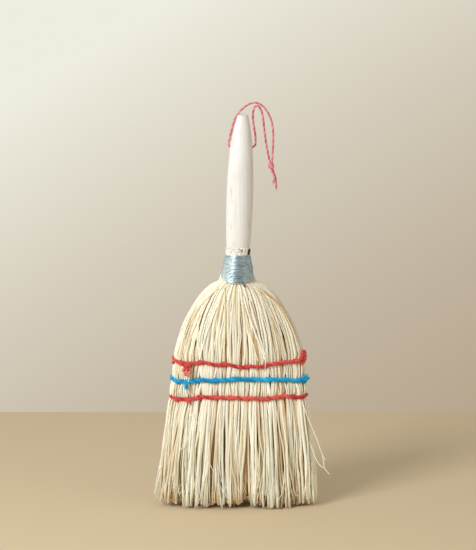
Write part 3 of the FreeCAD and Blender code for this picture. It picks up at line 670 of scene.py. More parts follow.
def wood_finish(pale, tan, worn, fleck):
    """Pale turned wood: grain along it, faint figure, flecks, turning marks and hand wear."""
    finish, tree, shader, place = new_finish("turned_wood")
    grains = {}
    for kind, fineness, stretch, dark, light in (
        ("fine", 420.0, 0.035, 0.93, 1.03),
        ("broad", 120.0, 0.06, 0.8, 1.08),
        ("bare", 230.0, 0.3, 0.8, 1.08),
    ):
        values = {"Place": place, "Fineness": fineness, "Stretch": (1.0, 1.0, stretch)}
        values |= {"Dark": dark, "Light": light}
        grains[kind] = use_effect(tree, "Long grain", values)
    patch = noise(tree, place, 38.0, 3.0)
    figure = ranged(tree, grains["broad"]["Grain"], 0.45, 1.0, 0.0, 0.55)
    colour = mixed_colour(tree, figure, pale, tan)
    wear = ranged(tree, patch, 0.5, 0.75, 0.0, 0.4)
    colour = mixed_colour(tree, wear, colour, worn)
    flecks = ranged(tree, grains["bare"]["Grain"], 0.7, 1.0, 0.0, 0.75)
    colour = mixed_colour(tree, maths(tree, "MULTIPLY", flecks, patch), colour, fleck)
    values = {"Vector": place, "Scale": 260.0, "Distortion": 2.0, "Detail": 2.0}
    marks = add_node(
        tree, "ShaderNodeTexWave", values, wave_type="BANDS", bands_direction="Z"
    ).outputs["Fac"]
    height = maths(tree, "MULTIPLY_ADD", marks, 0.25, grains["fine"]["Grain"])
    values = {
        "Base Color": mixed_colour(tree, 1.0, colour, grains["fine"]["Shade"], "MULTIPLY"),
        "Roughness": ranged(tree, grains["fine"]["Grain"], 0.0, 1.0, 0.62, 0.5),
        "Normal": bumped(tree, height, 0.22, 0.0003),
        "Specular IOR Level": 0.3,
    }
    put(tree, shader, values)
    return finish


# Settings that a user would change


def length_of(label, description, default):
    """A length property in metres, given in millimetres."""
    return bpy.props.FloatProperty(
        name=label, description=description, default=default * MM, unit="LENGTH", precision=5
    )


def count_of(label, description, default, least):
    """A property that counts."""
    return bpy.props.IntProperty(name=label, description=description, default=default, min=least)


def colour_of(label, description, default):
    """A colour property, given as a display colour."""
    return bpy.props.FloatVectorProperty(
        name=label,
        description=description,
        default=linear(*default),
        subtype="COLOR",
        size=3,
        min=0,
        max=1,
    )


class BroomStrawSettings(bpy.types.PropertyGroup):
    """Straw of the head."""

    pitch: length_of("Spacing", "Distance between outer straws at the sewing", 1.9)
    heart_pitch: length_of("Inner spacing", "Distance between straws inside the head", 3.0)
    thickness: length_of("Thickness", "Diameter of a usual straw", 1.95)
    fibres: count_of("Fibres", "Fine fibres that branch off near the tips", 520, 0)
    pale: colour_of("Pale", "Most of the straw", (255, 253, 240))
    golden: colour_of("Golden", "Straw with more colour", (247, 234, 199))
    brown: colour_of("Brown", "The few dark straws", (206, 170, 116))
    green: colour_of("Green", "Straw cut early", (238, 237, 210))
    cut: colour_of("Cut", "Trimmed stubs above the wire", (250, 246, 236))


class BroomWireSettings(bpy.types.PropertyGroup):
    """Binding wire."""

    turns: count_of("Turns", "Turns of wire round the neck", 20, 1)
    thickness: length_of("Thickness", "Diameter of the wire", 1.36)
    bright: colour_of("Bright", "Zinc that took the light", (224, 237, 243))
    dull: colour_of("Dull", "Zinc that went grey", (182, 199, 208))


class BroomTwineSettings(bpy.types.PropertyGroup):
    """Twine of the three rows of sewing."""

    band: length_of("Band", "Diameter of the twine laid along a row", 3.5)
    stitch: length_of("Stitch", "Diameter of the twine sewn over a row", 3.7)
    red_dark: colour_of("Red, deep", "Deep plies of the red twine", (182, 36, 38))
    red_light: colour_of("Red, light", "Light plies of the red twine", (240, 104, 94))
    blue_dark: colour_of("Blue, deep", "Deep plies of the blue twine", (0, 124, 188))
    blue_light: colour_of("Blue, light", "Light plies of the blue twine", (36, 194, 246))
    red_loose: colour_of("Red, loose", "Loose plies of the red twine", (254, 124, 106))
    red_fray: colour_of("Red fray", "Frayed ends of the red twine", (255, 204, 182))
    blue_fray: colour_of("Blue fray", "Frayed ends of the blue twine", (110, 204, 240))


class BroomCordSettings(bpy.types.PropertyGroup):
    """Hanging cord."""

    thickness: length_of("Thickness", "Diameter of the cord", 2.05)
    dark: colour_of("Deep", "Deep plies", (204, 70, 88))
    light: colour_of("Light", "Light plies", (255, 178, 185))


class BroomHandleSettings(bpy.types.PropertyGroup):
    """Turned handle."""

    pale: colour_of("Pale", "Sanded wood", (241, 242, 241))
    tan: colour_of("Figure", "Grain figure", (236, 229, 219))
    worn: colour_of("Worn", "Hand wear", (230, 218, 206))
    fleck: colour_of("Flecks", "Bare wood in the pale finish", (206, 176, 146))


class BroomStageSettings(bpy.types.PropertyGroup):
    """Camera, floor, backdrop and light."""

    distance: length_of("Camera distance", "From the camera to the broom", 1900)
    look_down: bpy.props.FloatProperty(
        name="Look down",
        description="How far the camera looks down",
        default=math.radians(8.3),
        subtype="ANGLE",
    )
    view_width: length_of("View width", "Width of the picture at the broom", 455)
    aim_x: length_of("Aim across", "Middle of the picture across", 0.5)
    aim_z: length_of("Aim height", "Middle of the picture above the floor", 225.0)
    floor_back: length_of("Floor depth", "From the broom to the floor's back edge", 420)
    floor_reach: length_of("Floor reach", "From the broom to the floor's other edges", 14000)
    floor: colour_of("Floor", "Table top", (229, 208, 173))
    # The ends of the backdrop's painted gradient of light
    wall_light: colour_of("Backdrop, light", "The backdrop where it is lightest", (239, 237, 224))
    wall_dark: colour_of("Backdrop, dark", "The backdrop where it is darkest", (175, 155, 128))
    key: bpy.props.FloatProperty(
        name="Key light", description="Power of the key light", default=21.2, min=0, unit="POWER"
    )
    key_tint: colour_of("Key tint", "Colour of the key light", (245, 250, 255))
    fill: bpy.props.FloatProperty(
        name="Soft light", description="Strength of the soft light", default=0.5, min=0
    )
    fill_tint: colour_of("Soft tint", "Colour of the soft light", (255, 250, 241))
    front_shine: colour_of("Front", "What shines from the camera's side", (80, 122, 142))
    side_shine: colour_of("Right", "What shines from the right", (176, 181, 173))


# Straw. Places across are from the head's middle, positive to the right.

STRAW_SEED = 41
EDGE_SEED = 3
STRAW_SIDES = 6
HEART_SIDES = 5

# Rings of straw from the outside in: distance from the sewn outline, spacing and looseness
OUTER_RINGS = ((0.9, 1.0, 1.0), (2.5, 1.0, 0.9), (4.3, 1.15, 0.7))
HEART_INSETS = (6.4, 8.9, 11.4, 13.6)
HEART_SIZE = 1.45
HEART_LOOSE = 0.5
RING_POINTS = 4000
RING_STRAY = 0.42
LAYER_LIMIT = 1.02
LEAST_DEPTH = 0.5

# Straws that close the two sides of the head: share of the way to the side, and layer
EDGE_STRAWS = ((0.985, 0.0), (0.98, 0.4), (0.97, 0.15), (0.96, 0.3), (0.945, 0.2))
EDGE_LOOSE = 0.45
SHOULDER_FROM = 0.5

# Heights of a straw's points, and below the sewing the shares of the way to its tip
BOUND_HEIGHTS = (244.5, 232.0, 219.0, 216.8, 214.0, 210.0, 204.5, 197.5, 188.5)
SHOULDER_HEIGHTS = (178.5, 168.5, 158.5, 150.0, 144.0, 139.5, 135.0, 130.8)
SEWN_HEIGHTS = (126.6, 122.6, 118.6, 114.5, 110.4, 106.2, 102.0)
FREE_SHARES = (0.12, 0.26, 0.42, 0.58, 0.74, 0.88, 1.0)

# Stubs above the wire, ragged in waves of (swing, waves, start), and a dark gap at the right whose
# stubs are painted dark as shade, partly dirt
STUB_DROP = 0.6
STUB_WAVES = ((1.0, 23, 0), (0.8, 61, 1))
STUB_STRAY = 1.2
GAP_FROM = 0.52
GAP_FROM_BEHIND = 0.9
GAP_LIFT = 2.0
GAP_RISE = 4.0

# Straws under the wire, and the share of them that cross their neighbours further down
NECK_STRAY = 0.035
NECK_DEPTH = 9.0
NECK_LAYERS = (0.45, 1.05)
NECK_TAPER = 12
NECK_DEPTH_LEAST = 0.05
NECK_LAYER_LEAST = 0.02
CROSSING_SHARE = 0.2
CROSSING_STRAY = 0.13
CROSSING_LIFT = 0.05

# Where the stitches of each row go through the straw, and the room that they make
NOTCHES = {
    "upper": (-54.0, -34.0, -12.0, 9.5, 27.0, 43.0, 56.0),
    "middle": (-57.0, -39.0, -21.0, -3.0, 15.0, 30.0, 45.5, 58.0),
    "lower": (-57.5, -36.0, -21.0, -6.0, 11.0, 29.5, 44.0, 55.0),
}
NOTCH_ROOMS = (0.9, 1.9)
NOTCH_REACH = 6.5
NOTCH_LONG_REACH = 12.0
NOTCH_BOUND = 80.0
NOTCH_FADE_FROM = 66
NOTCH_FADE_SPAN = 9
NOTCH_LEAST = 0.15

# How far a row draws the straw in, and how far up and down that reaches
PRESS_ACROSS = 1.3
PRESS_DEEP = 1.5
PRESS_REACH = 4.2

# How much of the parting shows: all of it outside, and less further in
OPEN_OUTSIDE = 1.3
OPEN_LOSS = 0.35

# The course of each row in front, as (place across, height)
ROW_WAVES = {
    "upper": (
        (-61.0, 143.2), (-54.2, 141.0), (-43.7, 141.5), (-33.1, 142.6), (-18.7, 139.9),
        (-11.5, 141.2), (4.3, 138.0), (10.0, 138.9), (25.0, 138.8), (35.0, 141.6),
        (51.0, 142.6), (60.0, 143.8), (64.8, 144.6),
    ),
    "middle": (
        (-62.5, 125.0), (-58.4, 123.0), (-49.0, 123.1), (-33.0, 125.6), (-24.5, 124.6),
        (-0.5, 126.8), (45.6, 125.4), (59.0, 123.9), (65.6, 125.6),
    ),
    "lower": (
        (-64.1, 107.2), (-59.4, 105.5), (-48.0, 106.3), (-35.4, 108.8), (-6.2, 108.5),
        (28.3, 107.3), (44.6, 109.6), (59.0, 107.7), (66.5, 108.7),
    ),
}
BACK_WAVE = 0.9
BACK_WAVE_SPAN = 11.0
BACK_LIFT = 1.6
BACK_LIFT_SPAN = 64.0

# The sweeping edge in front, as (share of the way from the middle to a side, height)
TIP_PROFILE = (
    (-1.0, 9.0), (-0.92, 5.0), (-0.75, 2.6), (-0.68, 0.7), (-0.56, 1.4),
    (-0.45, 3.2), (-0.34, 0.5), (-0.25, 3.4), (0.0, 3.4), (0.25, 3.0),
    (0.36, 1.6), (0.5, 1.2), (0.63, 0.3), (0.8, 2.2), (1.0, 3.0),
)
BACK_TIP = 2.2
BACK_TIP_WAVE = 1.2
BACK_TIP_WAVES = 9
EVEN_SHARE = 0.6
EVEN_STEP = 0.8
UNEVEN_STEPS = (1.2, 6.0)
SHORT_SHARE = 0.1
SHORT_STEPS = (6, 34)
TIP_INSET = 0.35
LOWEST_TIP = 0.3

# Slow waves of a straw, as (swing, shortest, longest), and how freely it takes them
STRAW_WAVES = ((0.6, 70, 150), (0.3, 32, 66))
WAVE_STRENGTHS = (0.4, 1.4)
WAVE_PHASE = 6.3
BOUND_CALM = 0.12
SHOULDER_CALM = 0.34
SHOULDER_SPAN = 20
TIP_CALM = 1.25
DEEP_CALM = 0.7
CALM_POWER = 1.3

# Steps aside from row to row, which grow less at the very sides of the head
SLANT_STEP = 0.75
SLANT_BELOW = [0.0, 60.0]
SLANT_ABOVE = [168.0, 200.0]
SLANT_CLUMP = (2, 5)
SIDE_CALM = 0.7

# Bundles above the sewing: fewest and most straws, pull, and fading heights as (start, span)
BUNDLE = (3, 8)
BUNDLE_PULL = 0.17
BUNDLE_FOOT = (128, 16)
BUNDLE_HEAD = (212, 20)

# Clumps below the sewing, as (fewest straws, most straws, pull, lean), and the straws' own lean
SKIRT_CLUMPS = ((2, 5, 0.64, 2.4), (5, 12, 0.34, 2.8))
CLUMP_DEEP_LEAN = 0.55
CLUMP_PULL_POWER = 1.1
CLUMP_LEAN_POWER = 1.4
OWN_LEAN = (2.2, 1.2)
OWN_LEAN_POWER = 1.3
ASTRAY_SHARE = 0.18
ASTRAY_LEAN = 2.3
SPLAY_ROOM = 4.0
FIBRE_LIMIT_Y = 26.5
FLOOR_GAP = 0.2

# Dark lines where the head opens in front, as (place across, height, reach up and down, room)
PARTINGS = (
    (9.4, 172, 16, 1.6), (1.4, 170, 20, 0.7), (-15.6, 166, 16, 0.8), (22.5, 160, 14, 1.0),
    (-27.0, 155, 16, 0.7), (53.0, 150, 12, 0.9), (-49.0, 165, 14, 0.8), (38.0, 175, 15, 0.6),
    (-58.0, 68, 18, 1.1), (-37.6, 56, 16, 1.2), (-31.3, 50, 14, 1.2), (-22.8, 64, 18, 1.2),
    (-11.5, 70, 18, 1.4), (-13.8, 30, 14, 1.3), (5.0, 52, 18, 0.9), (22.5, 62, 18, 1.2),
    (33.0, 40, 16, 0.9), (44.0, 42, 30, 1.3), (62.0, 44, 16, 1.1),
)
PARTING_WIDTH = 5.0
PARTING_EDGE = 0.6

# Sizes of straws beside the usual one, and how they taper
SIZE_SPREAD = 0.14
SIZE_LIMITS = (0.7, 1.3)
THIN_BELOW = 0.16
THIN_SIZES = (0.55, 0.75)
THICK_ABOVE = 0.74
THICK_SIZES = (1.25, 1.7)
BROWN_SHARE = 0.06
BROWN_SIZE = 0.62
TIP_SWELL = 0.1
BOUND_LOSS = 0.2
TIP_LOSS = 0.04
SHORT_TIP_LOSS = 0.36
TIP_LOSS_POWER = 2.4

# Shares of pale, golden, brown and green in a straw, and where it is darker as (start, span)
TINT_SHARES = (4.4, 1.8, 0.26, 0.7)
TINT_SPREAD = (0.93, 1.08)
TINT_FADE = (-0.03, 0.06)
BROWN_DEPTH = 0.75
# Inner straws browner and darker: painted shade in the gaps, partly less bleached straw
HEART_SHADE_AND_BROWNING = (0.76, 0.56, 0.31)
HEART_DEPTH = (1.5, 3.6)
# Painted shade: straws at the right shoulder, away from the key light, darker by this tint
RIGHT_SHADE_TINT = (0.88, 0.87, 0.84)
RIGHT_SHADE_SLOPE = 1.4
RIGHT_SHADE_HEIGHTS = (105, 40)
# Painted shade: straws deep in the head and low down, darker and browner by this loss
LOW_SHADE_LOSS = (0.34, 0.47, 0.62)
LOW_SHADE_DEPTH = (0.9, 4.5)
LOW_SHADE_HEIGHTS = (120, 50)
CUT_TINTS = (0.88, 1)
DARK_CUT_SHARE = 0.22
DARK_CUT = 0.5
# Stubs in the gap at the right painted dark: painted shade, partly dirt
GAP_SHADE_AND_DIRT = 0.14

# Single straws over the others in front: tint, thickness, and points as (place across, height)
OVER_STRAWS = (
    ("golden", 1.7, ((-12.4, 214), (-12.0, 198), (-11.8, 183), (-12.4, 160), (-13.0, 144))),
    ("pale", 1.9, ((6.0, 206), (10.0, 190), (15.7, 174.6), (24.5, 151), (27.4, 143))),
    ("golden", 1.6, ((8.0, 190), (11.0, 176), (15.2, 159), (19.7, 144))),
    ("pale", 1.8, ((11.5, 202), (16.0, 186), (21.0, 168), (26.2, 150))),
    ("golden", 1.5, ((-36.0, 188), (-42.0, 174), (-49.0, 158), (-53.0, 147))),
    ("pale", 1.9, ((-20.0, 196), (-27.0, 178), (-33.0, 160), (-36.0, 146))),
    ("brown", 1.3, ((20.0, 213), (35.0, 204), (46.0, 190), (54.0, 172))),
    ("golden", 1.5, ((17.0, 215), (31.0, 205), (43.0, 190), (50.0, 174))),
    ("golden", 1.6, ((-19.0, 213), (-34.0, 200), (-45.0, 182), (-51.0, 165))),
)
OVER_POINTS = 24
OVER_LIFT = 0.5
OVER_TAPER = 0.85
SURFACE_POINTS = 201

# Fine fibres near the tips
FIBRE_POINTS = 9
FIBRE_SIDES = 5
FIBRE_STARTS = (-7, -3)
FIBRE_ENDS = (0.5, 22)
FIBRE_ASIDE = (4.2, 2.4)
FIBRE_CURL = (1.3, 0.9)
FIBRE_WAVES = (3, 7)
FIBRE_PHASE = 6
FIBRE_BEND = 1.3
FIBRE_OUT = 0.8
FIBRE_INWARD_FROM = 52
FIBRE_TINTS = (0.88, 1.04)
FIBRE_RADII = (0.28, 0.58)
FIBRE_TAPER = 0.45

# Stray fibres that stand out from the head, by radius, through these places
STRAYS = {
    0.55: (
        ((62.0, -9.0, 104.0), (68.4, -9.5, 84.5), (74.5, -10.0, 72.5), (82.0, -11.0, 50.5)),
        ((82.0, -11.0, 50.5), (83.2, -11.0, 44.0), (83.0, -11.0, 39.0), (88.6, -11.5, 32.4)),
        ((81.6, -11.0, 52.0), (83.2, -10.6, 49.0), (84.8, -10.2, 46.4)),
        ((70.5, -9.0, 62.0), (73.8, -9.5, 50.5), (79.0, -10.5, 41.0), (83.0, -11.0, 38.6)),
    ),
    0.38: (
        ((-47.0, -17.0, 101.0), (-45.0, -18.2, 95.0), (-42.8, -19.0, 90.0)),
        ((-54.5, -17.5, 58.0), (-46.0, -19.5, 72.0), (-38.0, -19.0, 86.0)),
        ((-30.0, -20.0, 50.0), (-25.5, -21.0, 43.0), (-22.0, -21.4, 36.0)),
        ((-12.0, -21.0, 24.0), (-8.5, -22.0, 17.5), (-6.2, -22.0, 13.0)),
        ((-71.0, -6.0, 50.0), (-76.5, -6.5, 30.0), (-79.5, -6.5, 11.0)),
        ((-70.0, -4.0, 44.0), (-74.0, -4.0, 24.0), (-78.0, -4.5, 7.0)),
        ((74.0, -6.0, 36.0), (76.5, -7.0, 27.0), (75.8, -7.0, 22.0)),
        ((27.2, -14.4, 153.0), (26.6, -17.8, 140.0), (26.2, -17.9, 135.5), (25.6, -15.0, 126.0)),
        ((-46.6, -11.5, 133), (-47.0, -14.9, 123.5), (-47.2, -15.0, 118.5), (-47.6, -12.0, 108)),
        ((-72.5, -8.0, 40.0), (-77.5, -8.0, 22.0), (-81.0, -8.0, 12.5)),
        ((-68.0, -9.0, 46.0), (-72.0, -9.5, 26.0), (-75.0, -9.5, 5.0)),
        ((-73.0, 2.0, 46.0), (-78.0, 2.0, 28.0), (-80.0, 2.5, 16.0)),
    ),
}
STRAY_POINTS = 14
STRAY_TAPER = 0.7


def waves(value, table):
    """Sine waves added up, each as (swing, waves, start)."""
    return sum(swing * np.sin(value * rate + start) for swing, rate, start in table)


def row_height_at(row, x, side):
    """The height of a row of sewing. It sags and waves in front, and less at the back."""
    places, heights = zip(*ROW_WAVES[row])
    front = np.interp(x, places, heights)
    wave = np.sin(x / BACK_WAVE_SPAN + len(row)) * BACK_WAVE
    back = ROW_HEIGHT[row] + wave + (x / BACK_LIFT_SPAN) ** 2 * BACK_LIFT
    return np.where(np.asarray(side) < 0, front, back)


def ring_places(inset, pitch, rng):
    """Even places on a ring inside the sewn outline: across, layer and side of each."""
    half_width, half_depth = head_half_sizes(np.array(ROW_HEIGHT["middle"]))
    wide = half_width - inset
    x = -wide * np.cos(np.linspace(0, math.pi, RING_POINTS))
    y = oval_depth(x, wide, half_depth - inset)
    arc = np.concatenate(([0], np.cumsum(np.hypot(np.diff(x), np.diff(y)))))
    count = int(round(arc[-1] / pitch))
    found = []
    for side in (FRONT, BACK):
        stray = rng.uniform(-RING_STRAY, RING_STRAY, count)
        steps = (np.arange(count) + 0.5 + stray) / count * arc[-1]
        place_x = np.interp(steps, arc, x)
        place_y = np.interp(steps, arc, y)
        across = np.clip(place_x / (half_width - END_INSET), -1, 1)
        full = np.maximum(oval_depth(place_x, half_width, half_depth), LEAST_DEPTH)
        layer = np.clip(place_y / full, 0, LAYER_LIMIT)
        found.append(np.stack((across, layer, np.full(count, side)), 1))
    return np.concatenate(found)


def notch_shift(x, notches, rooms):
    """How far straw is pushed away from the stitches on both sides of it."""
    edges = np.concatenate(([-NOTCH_BOUND], notches, [NOTCH_BOUND]))
    room = np.concatenate(([0.0], rooms, [0.0]))
    nearest = np.clip(np.searchsorted(edges, x), 1, len(edges) - 1)
    low = edges[nearest - 1]
    place = (x - low) / (edges[nearest] - low)
    from_low = room[nearest - 1] * np.clip(1 - place * 2, 0, 1) ** 2
    from_high = room[nearest] * np.clip(place * 2 - 1, 0, 1) ** 2
    fade = np.clip((NOTCH_FADE_FROM - np.abs(x)) / NOTCH_FADE_SPAN, NOTCH_LEAST, 1)
    return (from_low - from_high) * fade


def part_straws(x, z):
    """The straws drawn aside where the head opens in dark lines."""
    for middle, height, reach, room in PARTINGS:
        away = x - middle
        near = np.exp(-(((z - height) / reach) ** 2)) * np.exp(-((away / PARTING_WIDTH) ** 2))
        x = x + np.tanh(away / PARTING_EDGE) * near * room
    return x


def station_heights(tips, stubs):
    """The heights of each straw's points, from its stub above the wire to its tip."""
    fixed = np.array(BOUND_HEIGHTS + SHOULDER_HEIGHTS + SEWN_HEIGHTS)
    fixed = np.broadcast_to(fixed, (len(tips), len(fixed)))
    free = fixed[:, -1:] + (tips[:, None] - fixed[:, -1:]) * np.array(FREE_SHARES)
    return np.concatenate((stubs[:, None], fixed, free), 1)


def straw_tints(across, z, inset, brown, rng, settings):
    """A colour for each straw: browner and darker inside the head, as painted shade in the gaps and
    partly less bleached straw; darker at the right shoulder as painted shade; and darker and
    browner low down deep in the head as painted shade between the straws."""
    count = len(across)
    palette = np.array([settings.pale, settings.golden, settings.brown, settings.green])
    base = rng.dirichlet(TINT_SHARES, count) @ palette
    base = base * rng.uniform(*TINT_SPREAD, (count, 1))
    base[brown] = base[brown] * (1 - BROWN_DEPTH) + np.array(settings.brown) * BROWN_DEPTH
    # Inner straws painted browner and darker: painted shade in the gaps, partly less bleached straw
    base = base * (1 - (1 - np.array(HEART_SHADE_AND_BROWNING)) * ramp_up(inset, *HEART_DEPTH))
    # Straws at the right shoulder painted darker: painted shade on the side away from the key light
    right_shade = np.clip(across[:, None] * RIGHT_SHADE_SLOPE, 0, 1) * ramp_up(z, *RIGHT_SHADE_HEIGHTS)
    right_shade = 1 - right_shade[:, :, None] * (1 - np.array(RIGHT_SHADE_TINT))
    run = np.linspace(0, 1, z.shape[1])[None, :, None]
    fade = 1 + rng.uniform(*TINT_FADE, (count, 1, 1)) * run
    # Straws deep in the head and low down painted darker and browner: painted shade between straws
    low = ramp_down(z, *LOW_SHADE_HEIGHTS)[:, :, None]
    low_shade = 1 - low * np.array(LOW_SHADE_LOSS) * ramp_up(inset, *LOW_SHADE_DEPTH)
    return np.clip(base[:, None] * right_shade * fade * low_shade, 0, 1)


def stub_tops(across, side, rng):
    """The height of each straw's stub, and which straws are in the dark gap."""
    ragged = waves(across + side, STUB_WAVES)
    stubs = STUB_TOP - STUB_DROP + ragged + rng.uniform(-STUB_STRAY, STUB_STRAY, len(across))
    in_gap = (across > GAP_FROM) & ((side < 0) | (across > GAP_FROM_BEHIND))
    gap_top = BINDING_TOP + GAP_LIFT + GAP_RISE * np.clip(across * 2 - 1, 0, 1)
    return np.where(in_gap, gap_top, stubs), in_gap


def straw_tips(across, side, inset, loose, rng):
    """The height of each straw's tip, and which straws end well above the edge."""
    count = len(across)
    tips = np.interp(across, *zip(*TIP_PROFILE))
    tips = np.where(side < 0, tips, BACK_TIP + np.sin(across * BACK_TIP_WAVES) * BACK_TIP_WAVE)
    kind = rng.random(count)
    even = rng.exponential(EVEN_STEP, count)
    step = np.where(kind < EVEN_SHARE, even, rng.uniform(*UNEVEN_STEPS, count))
    short = kind > 1 - SHORT_SHARE * loose
    step = np.where(short, rng.uniform(*SHORT_STEPS, count), step)
    return np.maximum(tips + step + inset * TIP_INSET, LOWEST_TIP), short


def clump_numbers(order, least, most, rng):
    """The number of the clump that each straw stands in, along an order."""
    count = len(order)
    numbers = np.empty(count, int)
    numbers[order] = np.repeat(np.arange(count), rng.integers(least, most, count))[:count]
    return numbers


def clump_middles(x, clump):
    """The middle of each straw's clump at every height."""
    clumps = clump.max() + 1
    total = np.bincount(clump, minlength=clumps)[:, None]
    sums = np.stack([np.bincount(clump, x[:, i], clumps) for i in range(x.shape[1])], 1)
    return (sums / total)[clump]


def bound_places(across, layer, side, z, inset, rng):
    """Where each straw comes down from the wire. Some cross their neighbours on the shoulder."""
    one_each = (len(across), 1)
    crossing = rng.random(one_each) < CROSSING_SHARE
    neck_across = across + rng.normal(0, NECK_STRAY, one_each)
    neck_across = neck_across + crossing * rng.normal(0, CROSSING_STRAY, one_each)
    neck_across = np.clip(neck_across, -1, 1)
    down = ramp_down(z, BINDING_BOTTOM, BINDING_BOTTOM - ROW_HEIGHT["upper"])
    down = down * down * (3 - 2 * down)
    moving = neck_across + (across - neck_across) * down
    proud = layer + crossing * CROSSING_LIFT * (down * (1 - down) * 4)
    depth_share = np.clip(1 - inset / NECK_DEPTH, NECK_DEPTH_LEAST, 1)
    neck_layer = depth_share * rng.uniform(*NECK_LAYERS, one_each)
    neck_layer = np.clip(neck_layer, NECK_LAYER_LEAST, 1)
    return straw_place(moving, proud, neck_layer, side, z)


def press_rows(x, y, z, side, opening, rng):
    """The straws drawn in by the twine and parted by the stitches."""
    for row in ROWS:
        away = z - row_height_at(row, x, side)
        reach = np.where((away > 0) & (row == "upper"), NOTCH_LONG_REACH, NOTCH_REACH)
        reach = np.where((away < 0) & (row == "lower"), NOTCH_LONG_REACH, reach)
        notches = np.array(NOTCHES[row])
        rooms = rng.uniform(*NOTCH_ROOMS, len(notches)) * opening
        x = x + notch_shift(x, notches, rooms) * np.exp(-((away / reach) ** 2))
        pressed = np.exp(-((away / PRESS_REACH) ** 2))
        half_width, half_depth = head_half_sizes(z)
        x = x * (1 - pressed * PRESS_ACROSS / half_width)
        y = y * (1 - pressed * PRESS_DEEP / half_depth)
    return x, y


def slant(z, clump, rng):
    """How far each straw steps aside from row to row, alone and with its clump."""
    heights = SLANT_BELOW + [ROW_HEIGHT[row] for row in reversed(ROWS)] + SLANT_ABOVE
    count = len(z)
    steps = rng.normal(0, SLANT_STEP, (count, len(heights)))
    steps = steps + rng.normal(0, SLANT_STEP, (count, len(heights)))[clump]
    steps[:, -1] = 0
    return np.stack([np.interp(z[i], heights, steps[i]) for i in range(count)])


def wander(z, calm, rng):
    """A slow sideways wave of each straw."""
    one_each = (len(z), 1)
    total = np.zeros_like(z)
    for swing, least, most in STRAW_WAVES:
        turn = z / rng.uniform(least, most, one_each) * TURN
        wave = np.sin(turn + rng.uniform(0, WAVE_PHASE, one_each))
        total = total + wave * swing * calm * rng.uniform(*WAVE_STRENGTHS, one_each)
    return total


def below_sewing(z):
    """From 0 at the lowest row to 1 at the floor."""
    return ramp_down(z, ROW_HEIGHT["lower"], ROW_HEIGHT["lower"])


def loosened(x, y, z, across, side, opening, loose, rng):
    """The straws out of their even places: they wander, step aside, gather in clumps and lean."""
    below = below_sewing(z)
    shoulder = ramp_down(z, BINDING_BOTTOM, SHOULDER_SPAN)
    calm = BOUND_CALM + SHOULDER_CALM * shoulder + TIP_CALM * below**CALM_POWER * loose
    x = x + wander(z, calm, rng)
    y = y + wander(z, calm * DEEP_CALM, rng)
    order = np.argsort(across[:, 0] + side[:, 0] * 10)
    edge = 1 - SIDE_CALM * np.clip(np.abs(across) * 10 - 9, 0, 1)
    x = x + slant(z, clump_numbers(order, *SLANT_CLUMP, rng), rng) * edge
    tied = ramp_up(z, *BUNDLE_FOOT) * ramp_down(z, *BUNDLE_HEAD)
    bundle = clump_middles(x, clump_numbers(order, *BUNDLE, rng))
    x = x + (bundle - x) * BUNDLE_PULL * tied * opening
    for least, most, pull, lean in SKIRT_CLUMPS:
        clump = clump_numbers(order, least, most, rng)
        x = x + (clump_middles(x, clump) - x) * pull * below**CLUMP_PULL_POWER * loose
        aside = rng.normal(0, (lean, lean * CLUMP_DEEP_LEAN), (len(z), 2))[clump]
        x = x + aside[:, :1] * below**CLUMP_LEAN_POWER * loose * edge
        y = y + aside[:, 1:] * below**CLUMP_LEAN_POWER * loose
    own = rng.normal(0, OWN_LEAN, (len(z), 2))
    own = own * np.where(rng.random((len(z), 1)) < ASTRAY_SHARE, ASTRAY_LEAN, 1)
    x = x + own[:, :1] * below**OWN_LEAN_POWER * loose * edge
    y = y + own[:, 1:] * below**OWN_LEAN_POWER * loose
    x = np.where(side < 0, x + (part_straws(x, z) - x) * opening, x)
    return x + sway_x(z), y


def straw_radii(z, short, loose, scale, rng, settings):
    """The radii of the straws, and which of them are the few thin brown ones."""
    one_each = (len(z), 1)
    kind = rng.random(one_each)
    size = np.clip(rng.normal(1, SIZE_SPREAD, one_each), *SIZE_LIMITS)
    size = np.where(kind < THIN_BELOW, rng.uniform(*THIN_SIZES, one_each), size)
    size = np.where(kind > THICK_ABOVE, rng.uniform(*THICK_SIZES, one_each), size)
    brown = rng.random(len(z)) < BROWN_SHARE
    size = np.where(brown[:, None], size * BROWN_SIZE, size)
    run = ramp_down(z, BINDING_BOTTOM, BINDING_BOTTOM)
    bound = ramp_up(z - BINDING_BOTTOM, -NECK_TAPER, NECK_TAPER)
    tip_loss = (TIP_LOSS + SHORT_TIP_LOSS * short[:, None]) * run**TIP_LOSS_POWER
    taper = 1 + TIP_SWELL * below_sewing(z) * loose - BOUND_LOSS * bound - tip_loss
    return settings.thickness / MM / 2 * size * taper * scale, brown


